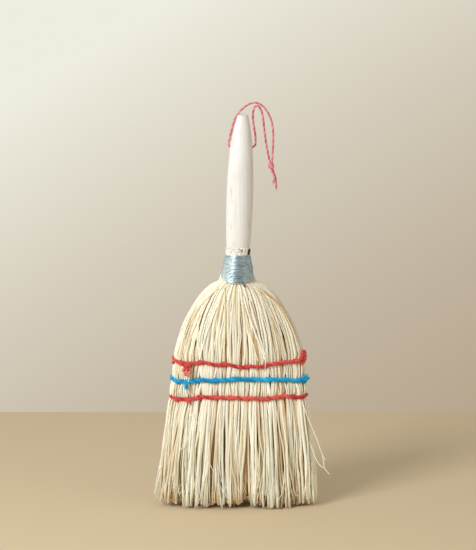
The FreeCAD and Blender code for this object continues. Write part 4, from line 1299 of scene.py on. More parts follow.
def lay_straws(places, inset, rng, settings, scale, loose):
    """The lines, radii and tints of the straws at these places."""
    across, layer, side = (places[:, i : i + 1] for i in range(3))
    tips, short = straw_tips(across[:, 0], side[:, 0], inset, loose, rng)
    stubs, in_gap = stub_tops(across[:, 0], side[:, 0], rng)
    z = station_heights(tips, stubs)
    opening = np.clip(OPEN_OUTSIDE - inset * OPEN_LOSS, 0, 1)
    x, y = bound_places(across, layer, side, z, inset, rng)
    x, y = press_rows(x, y, z, side, opening, rng)
    x, y = loosened(x, y, z, across, side, opening, loose, rng)
    radii, brown = straw_radii(z, short, loose, scale, rng, settings)
    limit_x = HALF_WIDTH["sweep"] + SPLAY_ROOM
    x = np.clip(x, -limit_x, limit_x)
    y = np.clip(y, -FIBRE_LIMIT_Y, FIBRE_LIMIT_Y)
    z = np.maximum(z, FLOOR_GAP)
    tints = straw_tints(across[:, 0], z, inset, brown, rng, settings)
    count = len(places)
    tints[:, :2] = np.array(settings.cut) * rng.uniform(*CUT_TINTS, (count, 1, 1))
    tints[rng.random(count) < DARK_CUT_SHARE, 0] = np.array(settings.brown) * DARK_CUT
    # Stubs in the gap painted dark: painted shade, partly dirt
    tints[in_gap, :2] = np.array(settings.brown) * GAP_SHADE_AND_DIRT
    return np.stack((x, y, z), -1), radii, tints


def surface_y(x, z, side):
    """How far out the straw's surface is at each place and height."""
    grid = np.linspace(-1, 1, SURFACE_POINTS)
    found = []
    for place, height in zip(x, z):
        row_x, row_y = straw_place(grid, 1.0, 1.0, side, np.full_like(grid, height))
        found.append(np.interp(place - sway_x(height), row_x, row_y))
    return np.array(found)


def add_over_straws(strands, settings):
    """Single straws that lie across the others in front."""
    for tint, thick, corners in OVER_STRAWS:
        line = eased([(x, 0, z) for x, z in corners], OVER_POINTS)
        lift = np.sin(np.linspace(0, math.pi, OVER_POINTS)) ** 0.5 * OVER_LIFT
        line[:, 1] = surface_y(line[:, 0], line[:, 2], FRONT) - lift
        radius = thick / 2 * np.linspace(1, OVER_TAPER, OVER_POINTS)
        strands.add(line[None], radius[None], np.array(getattr(settings, tint)), STRAW_SIDES)


def straw_owner(places, heart):
    """The solid of the part that each straw stands for."""
    across = places[:, 0]
    front = places[:, 2] < 0
    if heart:
        return np.where(front, "front_inner_straw", "back_inner_straw")
    middle = np.where(front, "front_cover_straw", "back_cover_straw")
    sides = np.where(across < 0, "left_shoulder_straw", "right_shoulder_straw")
    return np.where(np.abs(across) > SHOULDER_FROM, sides, middle)


def gather(gathered, owners, straws, sides):
    """Adds the straws to the strands of the solids that they stand for."""
    for owner in np.unique(owners):
        mine = owners == owner
        strands = gathered.setdefault(str(owner), Strands())
        strands.add(*(values[mine] for values in straws), sides)


def branch_fibres(strands, lines, rng, settings, count):
    """Fine fibres that leave a straw below the sewing and run out beside it."""
    picks = rng.integers(0, len(lines), count)
    begin = rng.integers(*FIBRE_STARTS, count)
    steps = np.linspace(0, 1, FIBRE_POINTS)
    palette = np.array([settings.pale, settings.golden, settings.green])
    paths = []
    tints = []
    for pick, first in zip(picks, begin):
        host = lines[pick, first:]
        end = host[-1] * (1, 1, 0) + (0, 0, rng.uniform(*FIBRE_ENDS))
        keep = np.concatenate((host[:-1], end[None]))
        keep = keep[np.argsort(-keep[:, 2])]
        index = np.arange(len(keep))
        places = np.interp(steps, np.linspace(0, 1, len(keep)), index)
        line = np.stack([np.interp(places, index, keep[:, i]) for i in range(3)], 1)
        aside = np.array((*(rng.normal(0, spread) for spread in FIBRE_ASIDE), 0))
        if host[0, 0] > FIBRE_INWARD_FROM:
            aside[0] = -abs(aside[0])
        curl = np.array((*(rng.normal(0, spread) for spread in FIBRE_CURL), 0))
        wave = np.sin(steps * rng.uniform(*FIBRE_WAVES) + rng.uniform(0, FIBRE_PHASE))[:, None]
        out = np.array((0, np.sign(host[0, 1]) * FIBRE_OUT, 0))
        line = line + aside * steps[:, None] ** FIBRE_BEND + curl * wave * steps[:, None] + out
        line[:, 1] = np.clip(line[:, 1], -FIBRE_LIMIT_Y, FIBRE_LIMIT_Y)
        line[:, 2] = np.maximum(line[:, 2], FLOOR_GAP)
        paths.append(line)
        tints.append(palette[rng.integers(0, len(palette))] * rng.uniform(*FIBRE_TINTS))
    radii = rng.uniform(*FIBRE_RADII, (count, 1)) * (1 - FIBRE_TAPER * steps[None])
    tints = np.clip(np.array(tints), 0, 1)[:, None]
    strands.add(np.array(paths), radii, tints, FIBRE_SIDES)


class BROOM_OT_lay_straw(bpy.types.Operator):
    """Lay the straw of the head, from the trimmed stubs above the wire to the sweeping edge"""

    bl_idname = "broom.lay_straw"
    bl_label = "Lay Straw"

    def execute(self, context):
        settings = context.scene.broom_straw
        finish = straw_finish()
        gathered = {}
        rng = np.random.default_rng(STRAW_SEED)
        lines, owners = self.lay_rings(gathered, rng, settings)
        self.lay_edges(gathered, settings)
        for owner in np.unique(owners):
            mine = lines[owners == owner]
            share = int(settings.fibres * len(mine) / len(lines))
            branch_fibres(gathered[str(owner)], mine, rng, settings, share)
        add_over_straws(gathered["front_cover_straw"], settings)
        for owner, strands in gathered.items():
            on_broom(strands, owner + "s", finish, owner)
        loose = Strands()
        for thick, lines in STRAYS.items():
            radius = thick * np.linspace(1, STRAY_TAPER, STRAY_POINTS)
            for corners in lines:
                line = eased(corners, STRAY_POINTS)
                loose.add(line[None], radius[None], np.array(settings.pale), FIBRE_SIDES)
        on_broom(loose, "stray_fibres", finish)
        return {"FINISHED"}

    def lay_rings(self, gathered, rng, settings):
        """Lays the rings from the outside in, and gives the outermost lines and their owners."""
        pitch = settings.pitch / MM
        heart = settings.heart_pitch / MM
        rings = [(inset, pitch * gap, 1.0, loose, False) for inset, gap, loose in OUTER_RINGS]
        rings += [(inset, heart, HEART_SIZE, HEART_LOOSE, True) for inset in HEART_INSETS]
        laid = []
        for inset, gap, scale, loose, inside in rings:
            places = ring_places(inset, gap, rng)
            straws = lay_straws(places, inset, rng, settings, scale, loose)
            owners = straw_owner(places, inside)
            gather(gathered, owners, straws, HEART_SIDES if inside else STRAW_SIDES)
            laid.append((straws[0], owners))
        return laid[0]

    def lay_edges(self, gathered, settings):
        """Closes the left and the right side of the head."""
        rng = np.random.default_rng(EDGE_SEED)
        inset = OUTER_RINGS[0][0]
        for way in (-1, 1):
            places = []
            for side in (FRONT, BACK):
                places += [(place * way, layer, side) for place, layer in EDGE_STRAWS]
            places = np.array(places)
            straws = lay_straws(places, inset, rng, settings, 1.0, EDGE_LOOSE)
            gather(gathered, straw_owner(places, False), straws, STRAW_SIDES)


# Binding wire. Uneven turns are waves of (swing, waves, start).

WIRE_STEPS = 72
WIRE_SIDES = 8
WIRE_UNEVEN = ((0.05, 1.37, 1), (0.04, 2.71, 0))
WIRE_LOOSE = ((0.06, 0.83, 0),)
WIRE_SLACK = 0.3
WIRE_SEAT = 0.1

# Turns that cross the others at the right: first and last height, start and length in half turns
CROSS_TURNS = ((221.0, 226.5, 0.15, 1.1), (229.5, 236.0, 0.2, 1.0))
CROSS_POINTS = 60
CROSS_SHARE = 0.72
CROSS_SEAT = 0.4
CROSS_LIFT = 1.5
CROSS_SIZE = 0.9

# The twisted end of the wire in front, the same wire as the turns but painted dark as shade
WIRE_TAIL = ((5.2, -15.4, 219.6), (6.2, -16.2, 217.8), (6.8, -16.4, 216.6), (8.0, -16.0, 216.0))
TAIL_POINTS = 40
TAIL_STEP = 0.35
TAIL_SIZE = 1.35
TAIL_LAY = 4.2
# Painted shade: the wire's end darker than the same wire in the turns
WIRE_END_SHADE_TINTS = (linear(120, 130, 128), linear(70, 80, 78))
NAIL_TINTS = (linear(150, 152, 152), linear(96, 98, 100))


def round_neck(reach, turn, z):
    """A line round the neck. A turn starts in front and goes to the right."""
    return np.stack((lean_x(z) + reach * np.sin(turn), -reach * np.cos(turn), z), 1)


class BROOM_OT_wind_wire(bpy.types.Operator):
    """Wind the wire round the neck and set the finish of its nails"""

    bl_idname = "broom.wind_wire"
    bl_label = "Wind Wire"

    def execute(self, context):
        settings = context.scene.broom_wire
        radius = settings.thickness / MM / 2
        grey = np.ones(3)
        coil = Strands()
        coil.add(self.turns(settings.turns, radius)[None], radius, grey, WIRE_SIDES)
        for first, last, start, spans in CROSS_TURNS:
            part = np.linspace(0, 1, CROSS_POINTS)
            angle = start * math.pi + part * spans * math.pi * CROSS_SHARE
            height = first + (last - first) * part
            lift = np.sin(part * math.pi) ** 0.5 * radius * CROSS_LIFT
            reach = neck_radius(height) + radius - CROSS_SEAT + lift
            line = round_neck(reach, angle, height)
            coil.add(line[None], radius * CROSS_SIZE, grey, WIRE_SIDES)
        zinc = metal_finish("galvanised_wire", settings.bright, settings.dull, (0.32, 0.44), 0.95)
        on_broom(coil, "binding_wire_turns", zinc, "binding_wire")
        tail = Strands()
        line = even_steps(eased(WIRE_TAIL, TAIL_POINTS), TAIL_STEP)
        lines, thin = ply_paths(line, radius * TAIL_SIZE, 2, TAIL_LAY)
        tail.add(lines, thin, grey, WIRE_SIDES)
        # The wire's end painted dark: painted shade in the hole where it is tucked
        dark = metal_finish("shaded_wire_end", *WIRE_END_SHADE_TINTS, (0.45, 0.6), 0.75)
        on_broom(tail, "binding_wire_tail", dark)
        refinish("binding_nails", metal_finish("nail_steel", *NAIL_TINTS, (0.35, 0.55), 1.0))
        return {"FINISHED"}

    def turns(self, count, radius):
        """The line of the wound wire. Its lowest turns dip in front and rise at the sides."""
        steps = count * WIRE_STEPS
        turn = math.pi + np.linspace(0, count * TURN, steps)
        share = np.linspace(0, 1, steps)
        low = BINDING_BOTTOM + radius
        high = BINDING_TOP + WIRE_OVERRUN - radius
        z = low + (high - low) * share + waves(turn, WIRE_UNEVEN) * np.sin(share * math.pi)
        loose = waves(turn, WIRE_LOOSE) + WIRE_SLACK * (1 - share) ** 2
        reach = neck_radius(z) + radius - WIRE_SEAT + loose
        rise = WIRE_RISE * np.sin(turn) ** 2 - WIRE_DIP * (0.5 + np.cos(turn) / 2) ** 1.5
        return round_neck(reach, turn, z + rise * (1 - share) ** 2)


# Sewing

SEWING_SEED = 19
TWINE_SLOTS = {"upper": "red_twine", "middle": "blue_twine", "lower": "red_twine"}
TWINE_SHEEN = 0.35
TWINE_SHEEN_TINTS = {"red_twine": linear(255, 190, 180), "blue_twine": linear(150, 220, 255)}
ROW_PINCH = 1.6
ROW_SWELL = {"upper": 1.0, "middle": 1.14, "lower": 1.05}
ROW_ENDS = {"upper": 59.5, "middle": 61.0, "lower": 62.0}
BAND_SEAT = -0.1
BAND_POINTS = 900
BAND_TURN = 8
BAND_STEP = 0.7
BAND_SOFTEN = 25
STITCH_POINTS = 60

# A stitch's points at its start, middle and end: place along the row, way out of the straw and rise
STITCH = (
    ((-2.2, -4.5, 0.9), (-1.6, 0.2, 0.9), (1.4, 1.3, 0.6)),
    ((-1.5, 1.25, 0.1), (1.5, 1.25, -0.1)),
    ((-1.0, 1.3, -0.5), (1.6, 0.2, -0.7), (2.2, -4.5, -0.7)),
)

# The hook of twine at the right end of the upper row
UPPER_HOOK = (
    (55.0, -11.5, 142.6), (60.0, -10.0, 143.6), (62.2, -8.8, 147.0), (61.6, -8.4, 151.0),
    (62.8, -7.6, 153.6), (64.6, -6.8, 151.4), (65.0, -6.6, 147.4), (64.2, -7.6, 143.6),
    (62.4, -9.0, 141.2), (60.4, -10.0, 140.6),
)
HOOK_POINTS = 70


def twine_finish(slot):
    """The red or the blue twine, made once."""
    name = slot + "_yarn"
    return bpy.data.materials.get(name) or yarn_finish(name, TWINE_SHEEN, TWINE_SHEEN_TINTS[slot])


def row_outline(row, offset):
    """The middle, half the width and half the depth of a row's twine."""
    z = np.array(ROW_HEIGHT[row])
    half_width, half_depth = head_half_sizes(z)
    return float(sway_x(z)), half_width - ROW_PINCH + offset, half_depth + offset


def girdle(row):
    """The line of a row round the head: along the front from left to right, then back."""
    middle, wide, deep = row_outline(row, BAND_SEAT)
    x = -wide * np.cos(np.linspace(0, math.pi, BAND_POINTS))
    y = oval_depth(x, wide, deep)
    front = np.stack((x + middle, -y, row_height_at(row, x + middle, FRONT)), 1)
    back = np.stack((x + middle, y, row_height_at(row, x + middle, BACK)), 1)[::-1]
    share = ramp_down(np.abs(x[::-1]), wide, BAND_TURN)
    back[:, 2] = back[:, 2] * share + front[::-1, 2] * (1 - share)
    whole = np.concatenate((front, back[1:]))
    half = BAND_SOFTEN // 2
    ringed = np.concatenate((whole[-half:, 2], whole[:, 2], whole[:half, 2]))
    whole[:, 2] = np.convolve(ringed, np.ones(BAND_SOFTEN) / BAND_SOFTEN, "valid")
    return even_steps(whole, BAND_STEP)


def outward_at(row, x, side, offset):
    """A place on a row, a way out from the straw."""
    middle, wide, deep = row_outline(row, 0.0)
    depth = float(oval_depth(np.array(x - middle), wide, deep)) + offset
    return np.array((x, side * depth, float(row_height_at(row, x, side))))


def stitch_line(row, side, start, end):
    """A long stitch: out of the straw at one notch, along the row and down into the next."""
    line = []
    for place, corners in zip((start, (start + end) / 2, end), STITCH):
        for along, out, rise in corners:
            line.append(outward_at(row, place + along, side, out) + (0, 0, rise))
    return eased(line, STITCH_POINTS)


class BROOM_OT_sew_rows(bpy.types.Operator):
    """Lay the twine of the three rows and sew the stitches over it"""

    bl_idname = "broom.sew_rows"
    bl_label = "Sew Rows"

    def execute(self, context):
        settings = context.scene.broom_twine
        rng = np.random.default_rng(SEWING_SEED)
        for row, slot in TWINE_SLOTS.items():
            finish = twine_finish(slot)
            colours = (settings.red_dark, settings.red_light)
            if slot == "blue_twine":
                colours = (settings.blue_dark, settings.blue_light)
            swell = ROW_SWELL[row]
            stitch_radius = settings.stitch / MM / 2
            band = Strands()
            add_twine(band, girdle(row), colours, rng, settings.band / MM / 2 * swell)
            if row == "upper":
                add_twine(band, eased(UPPER_HOOK, HOOK_POINTS), colours, rng, stitch_radius)
            on_broom(band, row + "_band_twine", finish, row + "_band")
            sewn = Strands()
            notches = (-ROW_ENDS[row], *NOTCHES[row], ROW_ENDS[row])
            for side in (FRONT, BACK):
                for start, end in zip(notches[:-1], notches[1:]):
                    line = stitch_line(row, side, start, end)
                    add_twine(sewn, line, colours, rng, stitch_radius * swell)
            on_broom(sewn, row + "_stitch_twine", finish, row + "_stitches")
        return {"FINISHED"}


# Knots of the sewing

KNOT_SEED = 23
KNOT_POINTS = 90
CUT_TAIL_POINTS = 20
FOOT_POINTS = 24

# The tuft at the left of the upper row. A knot is its middle, and half its width, depth and height.
TUFT_KNOT = ((-48.4, -14.8, 138.4), (3.2, 1.3, 2.4))
TUFT_ROOT = np.array((-48.4, -15.2, 139.6))
TUFT_FEET = np.array(
    ((-51.2, -15.8, 133.8), (-49.6, -17.0, 130.8), (-47.2, -17.2, 130.6), (-45.8, -16.0, 133.6))
)
TUFT_BOW = (0.2, -1.4, 0.8)
TUFT_FRAY_UP = (0, 0, 3.4)
TUFT_FRAY = {"length": 4.2, "count": 40, "spread": 0.75, "thick": 0.28}
TUFT_HEART = (-48.4, -17.0, 134.8)
TUFT_HEART_WAY = (0, -0.25, -1)
TUFT_HEART_FRAY = {"length": 5.6, "count": 110, "spread": 0.95, "thick": 0.3}

# The blunt blue end under the middle row, and the small red one under the lower row
DROP_KNOT = ((-49.2, -13.8, 122.2), (2.0, 0.9, 2.2))
DROP_TAIL = ((-49.3, -14.6, 121.4), (-49.0, -16.2, 119.2), (-48.8, -16.2, 117.6))
DROP_END = (-48.8, -16.2, 119.0)
DROP_END_WAY = (0.05, -0.1, -1)
DROP_FRAY = {"length": 2.2, "count": 60, "spread": 1.5, "thick": 0.36}
SMALL_KNOT = ((-47.6, -13.9, 105.2), (2.0, 0.8, 1.7))
SMALL_TAIL = ((-47.4, -15.0, 104.8), (-46.8, -16.4, 103.9), (-46.2, -16.6, 103.2))
SMALL_END = (-46.4, -16.6, 103.4)
SMALL_END_WAY = (0.4, -0.1, -0.8)
SMALL_FRAY = {"length": 1.3, "count": 22, "spread": 0.6, "thick": 0.24}

# The knot at the right end of the middle row
END_KNOT = ((64.2, -6.4, 124.8), (3.2, 1.6, 3.0))
END_ROOT = np.array((64.2, -6.6, 124.8))
END_FEET = np.array(((66.0, -6.6, 127.6), (67.2, -5.8, 125.6)))
END_BOW = (0.2, -0.8, 0.3)
END_FRAY = {"length": 2.2, "count": 60, "spread": 0.8, "thick": 0.28}


def knot_line(centre, size):
    """A closed overhand knot, flattened against the straw."""
    t = np.linspace(0, TURN, KNOT_POINTS)
    across = (np.sin(t) + 2 * np.sin(2 * t)) / 3
    height = (np.cos(t) - 2 * np.cos(2 * t)) / 3
    return np.asarray(centre) + np.stack((across, -np.sin(3 * t), height), 1) * size


def foot_line(root, bow, foot):
    """A loose end that bows out on its way from a knot to its foot."""
    return eased([root, (root + foot) / 2 + bow, foot], FOOT_POINTS)


class BROOM_OT_tie_knots(bpy.types.Operator):
    """Tie the knots of the sewing, with their frayed ends"""

    bl_idname = "broom.tie_knots"
    bl_label = "Tie Knots"

    def execute(self, context):
        settings = context.scene.broom_twine
        rng = np.random.default_rng(KNOT_SEED)
        red = (settings.red_dark, settings.red_light)
        red_ends = (settings.red_loose, settings.red_fray)
        blue = (settings.blue_dark, settings.blue_light)
        blue_ends = (settings.blue_light, settings.blue_fray)

        tuft = Strands()
        add_twine(tuft, knot_line(*TUFT_KNOT), red, rng, radius=1.4, plies=2)
        for foot in TUFT_FEET:
            line = foot_line(TUFT_ROOT, TUFT_BOW, foot)
            add_twine(tuft, line, red, rng, radius=1.3, plies=2)
            root = foot + TUFT_FRAY_UP
            add_fray(tuft, root, foot - TUFT_ROOT, red_ends, rng, **TUFT_FRAY)
        add_fray(tuft, TUFT_HEART, TUFT_HEART_WAY, red_ends, rng, **TUFT_HEART_FRAY)
        on_broom(tuft, "upper_knot_tuft", twine_finish("red_twine"), "upper_knot")

        drop = Strands()
        add_twine(drop, knot_line(*DROP_KNOT), blue, rng, radius=1.2, plies=2)
        add_twine(drop, eased(DROP_TAIL, CUT_TAIL_POINTS), blue, rng, radius=2.1)
        add_fray(drop, DROP_END, DROP_END_WAY, blue_ends, rng, **DROP_FRAY)
        on_broom(drop, "middle_knot_tail", twine_finish("blue_twine"), "middle_knot")

        small = Strands()
        add_twine(small, knot_line(*SMALL_KNOT), red, rng, radius=1.0, plies=2)
        add_twine(small, eased(SMALL_TAIL, CUT_TAIL_POINTS), red, rng, radius=1.1, plies=2)
        add_fray(small, SMALL_END, SMALL_END_WAY, red_ends, rng, **SMALL_FRAY)
        on_broom(small, "lower_knot_tail", twine_finish("red_twine"), "lower_knot")

        end = Strands()
        add_twine(end, knot_line(*END_KNOT), blue, rng, radius=1.5)
        for foot in END_FEET:
            add_twine(end, foot_line(END_ROOT, END_BOW, foot), blue, rng, radius=1.4)
            add_fray(end, foot, foot - END_ROOT, blue_ends, rng, **END_FRAY)
        on_broom(end, "middle_end_knot", twine_finish("blue_twine"))
        return {"FINISHED"}


# Handle


class BROOM_OT_finish_handle(bpy.types.Operator):
    """Give the turned handle its wood"""

    bl_idname = "broom.finish_handle"
    bl_label = "Finish Handle"

    def execute(self, context):
        settings = context.scene.broom_handle
        wood = wood_finish(settings.pale, settings.tan, settings.worn, settings.fleck)
        refinish("handle", wood)
        return {"FINISHED"}


# Hanging cord

CORD_SEED = 5
CORD_SHEEN = 0.3
CORD_SHEEN_TINT = linear(255, 196, 200)
HOLE_MIDDLE = np.array((3.5566, 0.0, 345.945))
HOLE_WAY = np.array((0.999517, 0.0, -0.031062))
MOUTH_CORNER = 13.05

# Control points of the cord: the strands from the middle of the hole, the tails from the knot
LEFT_ROUTE = (
    (-10.9, -2.0, 9.5), (-8.9, -3.2, 19.5), (-6.5, -3.2, 27.4), (-2.6, -2.4, 34.2),
    (3.4, -1.0, 39.9), (9.6, 0.0, 43.4), (15.6, 0.0, 43.4), (21.4, 0.0, 39.6),
    (26.3, 0.0, 32.6), (29.3, 0.0, 24.2), (30.5, 0.0, 14.0), (30.0, 0.0, 0.5),
    (29.2, 0.0, -14.4),
)
RIGHT_ROUTE = (
    (13.9, 0.0, 9.6), (12.0, 0.0, 20.6), (10.6, 0.0, 31.0), (12.0, 0.0, 39.4),
    (15.8, 0.0, 41.2), (19.6, 0.0, 35.4), (21.0, 0.0, 26.2), (22.6, 0.0, 11.0),
    (24.6, 0.0, -1.6), (27.6, 0.0, -14.4),
)
LONG_TAIL = ((0.6, 0.0, 0.0), (3.0, 0.4, -8.0), (4.8, 0.4, -13.0), (4.8, 0.0, -21.0))
SHORT_TAIL = ((-0.6, -0.4, 0.0), (1.6, -1.2, -7.0), (3.4, -1.3, -11.0), (2.0, -0.8, -16.0))

# The cord's knot: close turns round the strands, one crossing over them, and frayed tails
CORD_KNOT_DROP = 2.2
CORD_KNOT_TURNS = 3
CORD_KNOT_POINTS = 40
CORD_KNOT_RUN = 1.12
CORD_KNOT_PITCH = 1.5
CORD_KNOT_RISE = 0.9
CORD_KNOT_LOW = 0.4
CORD_KNOT_WIDE = 2.0
CORD_KNOT_DEEP = 1.7
CORD_CROSS = ((-1.5, -1.0, 2.6), (-0.6, -2.6, 0.8), (1.2, -2.7, -0.6), (1.6, -1.0, -2.6))
CORD_CROSS_POINTS = 30
DRAWN_TIGHT = 0.9
CORD_TAIL_SIZE = 0.96
CORD_FRAY = {"length": 2.2, "count": 10, "spread": 0.22, "thick": 0.16}


def nurbs_line(points):
    """Points along the smooth line that has these control points, all in metres."""
    curve = bpy.data.curves.new("route", "CURVE")
    curve.dimensions = "3D"
    spline = curve.splines.new("NURBS")
    spline.points.add(len(points) - 1)
    for point, place in zip(spline.points, points):
        point.co = (*place, 1)
    spline.order_u = 3
    spline.use_endpoint_u = True
    spline.resolution_u = 12
    route = linked(bpy.data.objects.new("route", curve))
    mesh = bpy.data.meshes.new_from_object(route)
    line = np.array([v.co for v in mesh.vertices])
    bpy.data.objects.remove(route)
    bpy.data.curves.remove(curve)
    bpy.data.meshes.remove(mesh)
    return line


def route_points(start, offsets):
    """Control points given from a place, in metres."""
    return [tuple((start + np.array(offset)) * MM) for offset in offsets]


class BROOM_OT_hang_cord(bpy.types.Operator):
    """Pass the cord through the handle and knot it"""

    bl_idname = "broom.hang_cord"
    bl_label = "Hang Cord"

    def execute(self, context):
        settings = context.scene.broom_cord
        rng = np.random.default_rng(CORD_SEED)
        finish = yarn_finish("red_cord_yarn", CORD_SHEEN, CORD_SHEEN_TINT)
        colours = (settings.dark, settings.light)
        radius = settings.thickness / MM / 2
        knot_piece = self.knot(radius, colours, rng).piece("cord_knot", finish)
        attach(knot_piece, "cord_loop")
        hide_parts("hanging_knot")
        for name, side, route in (
            ("left_cord_strand", -1, LEFT_ROUTE),
            ("right_cord_strand", 1, RIGHT_ROUTE),
        ):
            points = [tuple(HOLE_MIDDLE * MM)]
            points.append(tuple((HOLE_MIDDLE + HOLE_WAY * side * MOUTH_CORNER) * MM))
            points += route_points(HOLE_MIDDLE, route)
            line = nurbs_line(points)
            strand = Strands()
            add_twine(strand, line / MM, colours, rng, radius)
            piece = strand.piece(name, finish)
            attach(piece, "cord_loop")
        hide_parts("hanging_cord")
        return {"FINISHED"}

    def knot(self, radius, colours, rng):
        """The knot that joins the two strands, and its cut tails."""
        knot = Strands()
        ends = (np.array(LEFT_ROUTE[-1]) + np.array(RIGHT_ROUTE[-1])) / 2
        centre = HOLE_MIDDLE + ends - np.array((0, 0, CORD_KNOT_DROP))
        t = np.linspace(0, TURN * CORD_KNOT_RUN, CORD_KNOT_POINTS)
        for turn in range(CORD_KNOT_TURNS):
            height = CORD_KNOT_PITCH - turn * CORD_KNOT_PITCH
            height = height + t / TURN * CORD_KNOT_RISE - CORD_KNOT_LOW
            x = CORD_KNOT_WIDE * np.sin(t + turn)
            y = -CORD_KNOT_DEEP * np.cos(t + turn)
            ring = centre + np.stack((x, y, height), 1)
            add_twine(knot, ring, colours, rng, radius * DRAWN_TIGHT, plies=2)
        cross = centre + eased(CORD_CROSS, CORD_CROSS_POINTS)
        add_twine(knot, cross, colours, rng, radius * DRAWN_TIGHT, plies=2)
        light = colours[1]
        for tail in (LONG_TAIL, SHORT_TAIL):
            line = nurbs_line(route_points(centre, tail)) / MM
            add_twine(knot, line, colours, rng, radius * CORD_TAIL_SIZE)
            add_fray(knot, line[-1], line[-1] - line[-4], (light, light), rng, **CORD_FRAY)
        return knot


# Stage, with places in metres. Ranges are of a direction, from -1 at the left or below to 1.

SENSOR_WIDTH = 36
VIEW_END = 30
KEY_PLACE = (-1.03, -1.19, 0.95)
KEY_SIZE = 0.66
SIDE_PLACE = (1.3, -0.9, 0.7)
SIDE_SIZE = 0.9
SIDE_SHARE = 0.06
LAMP_AIM = (0, 0, 0.19)
SPECK_SCALE = 900.0
SPECK_TINT = 0.93
WALL_TILT = -0.6
WALL_RANGE = (-0.45, 0.01)
WALL_POWER = 2.2
LEFT_RANGE = (-0.95, -0.2)
LEFT_LEVEL = 1.9
RIGHT_RANGE = (0.2, 0.9)


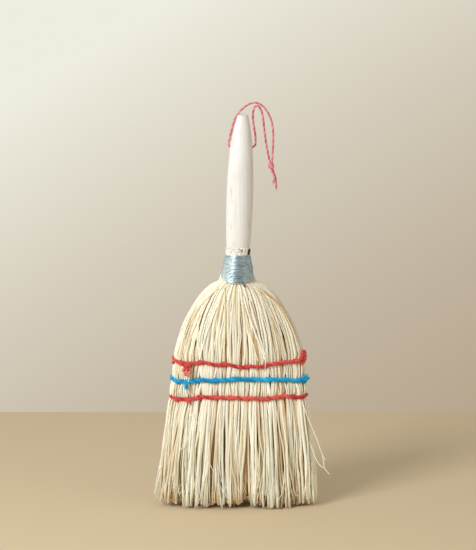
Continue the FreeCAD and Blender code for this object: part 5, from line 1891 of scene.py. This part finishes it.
class BROOM_OT_set_stage(bpy.types.Operator):
    """Set the floor, the backdrop, the lamps and the camera"""

    bl_idname = "broom.set_stage"
    bl_label = "Set Stage"

    def execute(self, context):
        scene = context.scene
        settings = scene.broom_stage
        scene.view_settings.view_transform = "Standard"
        self.floor(settings)
        self.backdrop(scene, settings)
        self.lamp("key_lamp", KEY_PLACE, settings.key, KEY_SIZE, settings.key_tint)
        self.lamp("side_lamp", SIDE_PLACE, settings.key * SIDE_SHARE, SIDE_SIZE, (1, 1, 1))
        camera = bpy.data.cameras.new("view")
        camera.sensor_fit = "HORIZONTAL"
        camera.sensor_width = SENSOR_WIDTH
        camera.lens = SENSOR_WIDTH * settings.distance / settings.view_width
        camera.clip_end = VIEW_END
        viewer = linked(bpy.data.objects.new("view", camera))
        back = Vector((0, -math.cos(settings.look_down), math.sin(settings.look_down)))
        viewer.location = Vector((settings.aim_x, 0, settings.aim_z)) + back * settings.distance
        viewer.rotation_euler = (math.pi / 2 - settings.look_down, 0, 0)
        scene.camera = viewer
        return {"FINISHED"}

    def floor(self, settings):
        """A table top that ends behind the broom."""
        mesh = bpy.data.meshes.new("floor")
        back = settings.floor_back
        wide = settings.floor_reach
        corners = [(-wide, -wide, 0), (wide, -wide, 0), (wide, back, 0), (-wide, back, 0)]
        mesh.from_pydata(corners, [], [(0, 1, 2, 3)])
        finish, tree, shader, place = new_finish("table_top")
        share = ranged(tree, noise(tree, place, SPECK_SCALE, 3.0), 0.35, 0.65, 0.0, 1.0)
        dark = tuple(channel * SPECK_TINT for channel in settings.floor)
        values = {
            "Base Color": mixed_colour(tree, share, dark, settings.floor),
            "Roughness": 0.9,
            "Specular IOR Level": 0.1,
        }
        put(tree, shader, values)
        mesh.materials.append(finish)
        linked(bpy.data.objects.new("floor", mesh))

    def backdrop(self, scene, settings):
        """A backdrop for the camera with a painted gradient of light, lighter upwards and to the
        left, an even soft light, and tones for what shines.
        """
        world = bpy.data.worlds.new("studio")
        scene.world = world
        world.use_nodes = True
        tree = world.node_tree
        tree.nodes.clear()
        ray = add_node(tree, "ShaderNodeLightPath").outputs
        place = add_node(tree, "ShaderNodeTexCoord").outputs["Generated"]
        across, _, up = add_node(tree, "ShaderNodeSeparateXYZ", {0: place}).outputs
        # Painted light on the backdrop: lighter upwards and to the left, darker to the right
        tilt = maths(tree, "MULTIPLY_ADD", across, WALL_TILT, up)
        share = maths(tree, "POWER", ranged(tree, tilt, *WALL_RANGE, 0.0, 1.0), WALL_POWER)
        shade = mixed_colour(tree, share, settings.wall_dark, settings.wall_light)
        wall = self.glow(tree, shade, 1.0)
        soft = self.glow(tree, (*settings.fill_tint, 1), settings.fill)
        left = ranged(tree, across, *LEFT_RANGE, 1.0, 0.0)
        right = ranged(tree, across, *RIGHT_RANGE, 0.0, 1.0)
        tone = mixed_colour(tree, right, settings.front_shine, settings.side_shine)
        tone = mixed_colour(tree, left, tone, settings.wall_light)
        shine = self.glow(tree, tone, ranged(tree, left, 0.0, 1.0, 1.0, LEFT_LEVEL))
        lit = add_node(tree, "ShaderNodeMixShader", {0: ray["Is Glossy Ray"], 1: soft, 2: shine})
        values = {0: ray["Is Camera Ray"], 1: lit.outputs[0], 2: wall}
        seen = add_node(tree, "ShaderNodeMixShader", values)
        add_node(tree, "ShaderNodeOutputWorld", {0: seen.outputs[0]})

    def glow(self, tree, tone, strength):
        """A background of a tone and strength."""
        values = {"Color": tone, "Strength": strength}
        return add_node(tree, "ShaderNodeBackground", values).outputs[0]

    def lamp(self, name, place, power, size, tint):
        """A soft square lamp that faces the broom."""
        data = bpy.data.lights.new(name, "AREA")
        data.energy = power
        data.size = size
        data.color = tint
        lamp = linked(bpy.data.objects.new(name, data))
        lamp.location = place
        aim = Vector(LAMP_AIM) - Vector(place)
        lamp.rotation_euler = aim.to_track_quat("-Z", "Y").to_euler()


class BROOM_PT_panel(bpy.types.Panel):
    """Sizes, colours and steps of the broom"""

    bl_idname = "BROOM_PT_panel"
    bl_label = "Hand Broom"
    bl_space_type = "VIEW_3D"
    bl_region_type = "UI"
    bl_category = "Broom"

    def draw(self, context):
        for name in SETTINGS:
            box = self.layout.box()
            settings = getattr(context.scene, name)
            for label in settings.__annotations__:
                box.prop(settings, label)
        for step in STEPS:
            self.layout.operator(step.bl_idname)


SETTINGS = {
    "broom_straw": BroomStrawSettings,
    "broom_wire": BroomWireSettings,
    "broom_twine": BroomTwineSettings,
    "broom_cord": BroomCordSettings,
    "broom_handle": BroomHandleSettings,
    "broom_stage": BroomStageSettings,
}
STEPS = (
    BROOM_OT_set_stage,
    BROOM_OT_hang_cord,
    BROOM_OT_finish_handle,
    BROOM_OT_wind_wire,
    BROOM_OT_lay_straw,
    BROOM_OT_sew_rows,
    BROOM_OT_tie_knots,
)


def register():
    """Registers the classes and puts their settings on the scene."""
    for group in SETTINGS.values():
        bpy.utils.register_class(group)
    for step in STEPS:
        bpy.utils.register_class(step)
    bpy.utils.register_class(BROOM_PT_panel)
    for name, group in SETTINGS.items():
        setattr(bpy.types.Scene, name, bpy.props.PointerProperty(type=group))


def unregister():
    """Takes the settings and the classes away again."""
    for name in SETTINGS:
        delattr(bpy.types.Scene, name)
    bpy.utils.unregister_class(BROOM_PT_panel)
    for step in reversed(STEPS):
        bpy.utils.unregister_class(step)
    for group in reversed(list(SETTINGS.values())):
        bpy.utils.unregister_class(group)


def main():
    """Builds the broom around the part."""
    register()
    bpy.ops.broom.set_stage()
    bpy.ops.broom.hang_cord()
    bpy.ops.broom.finish_handle()
    bpy.ops.broom.wind_wire()
    bpy.ops.broom.lay_straw()
    bpy.ops.broom.sew_rows()
    bpy.ops.broom.tie_knots()
    bpy.context.view_layer.update()


if __name__ == "__main__":
    main()
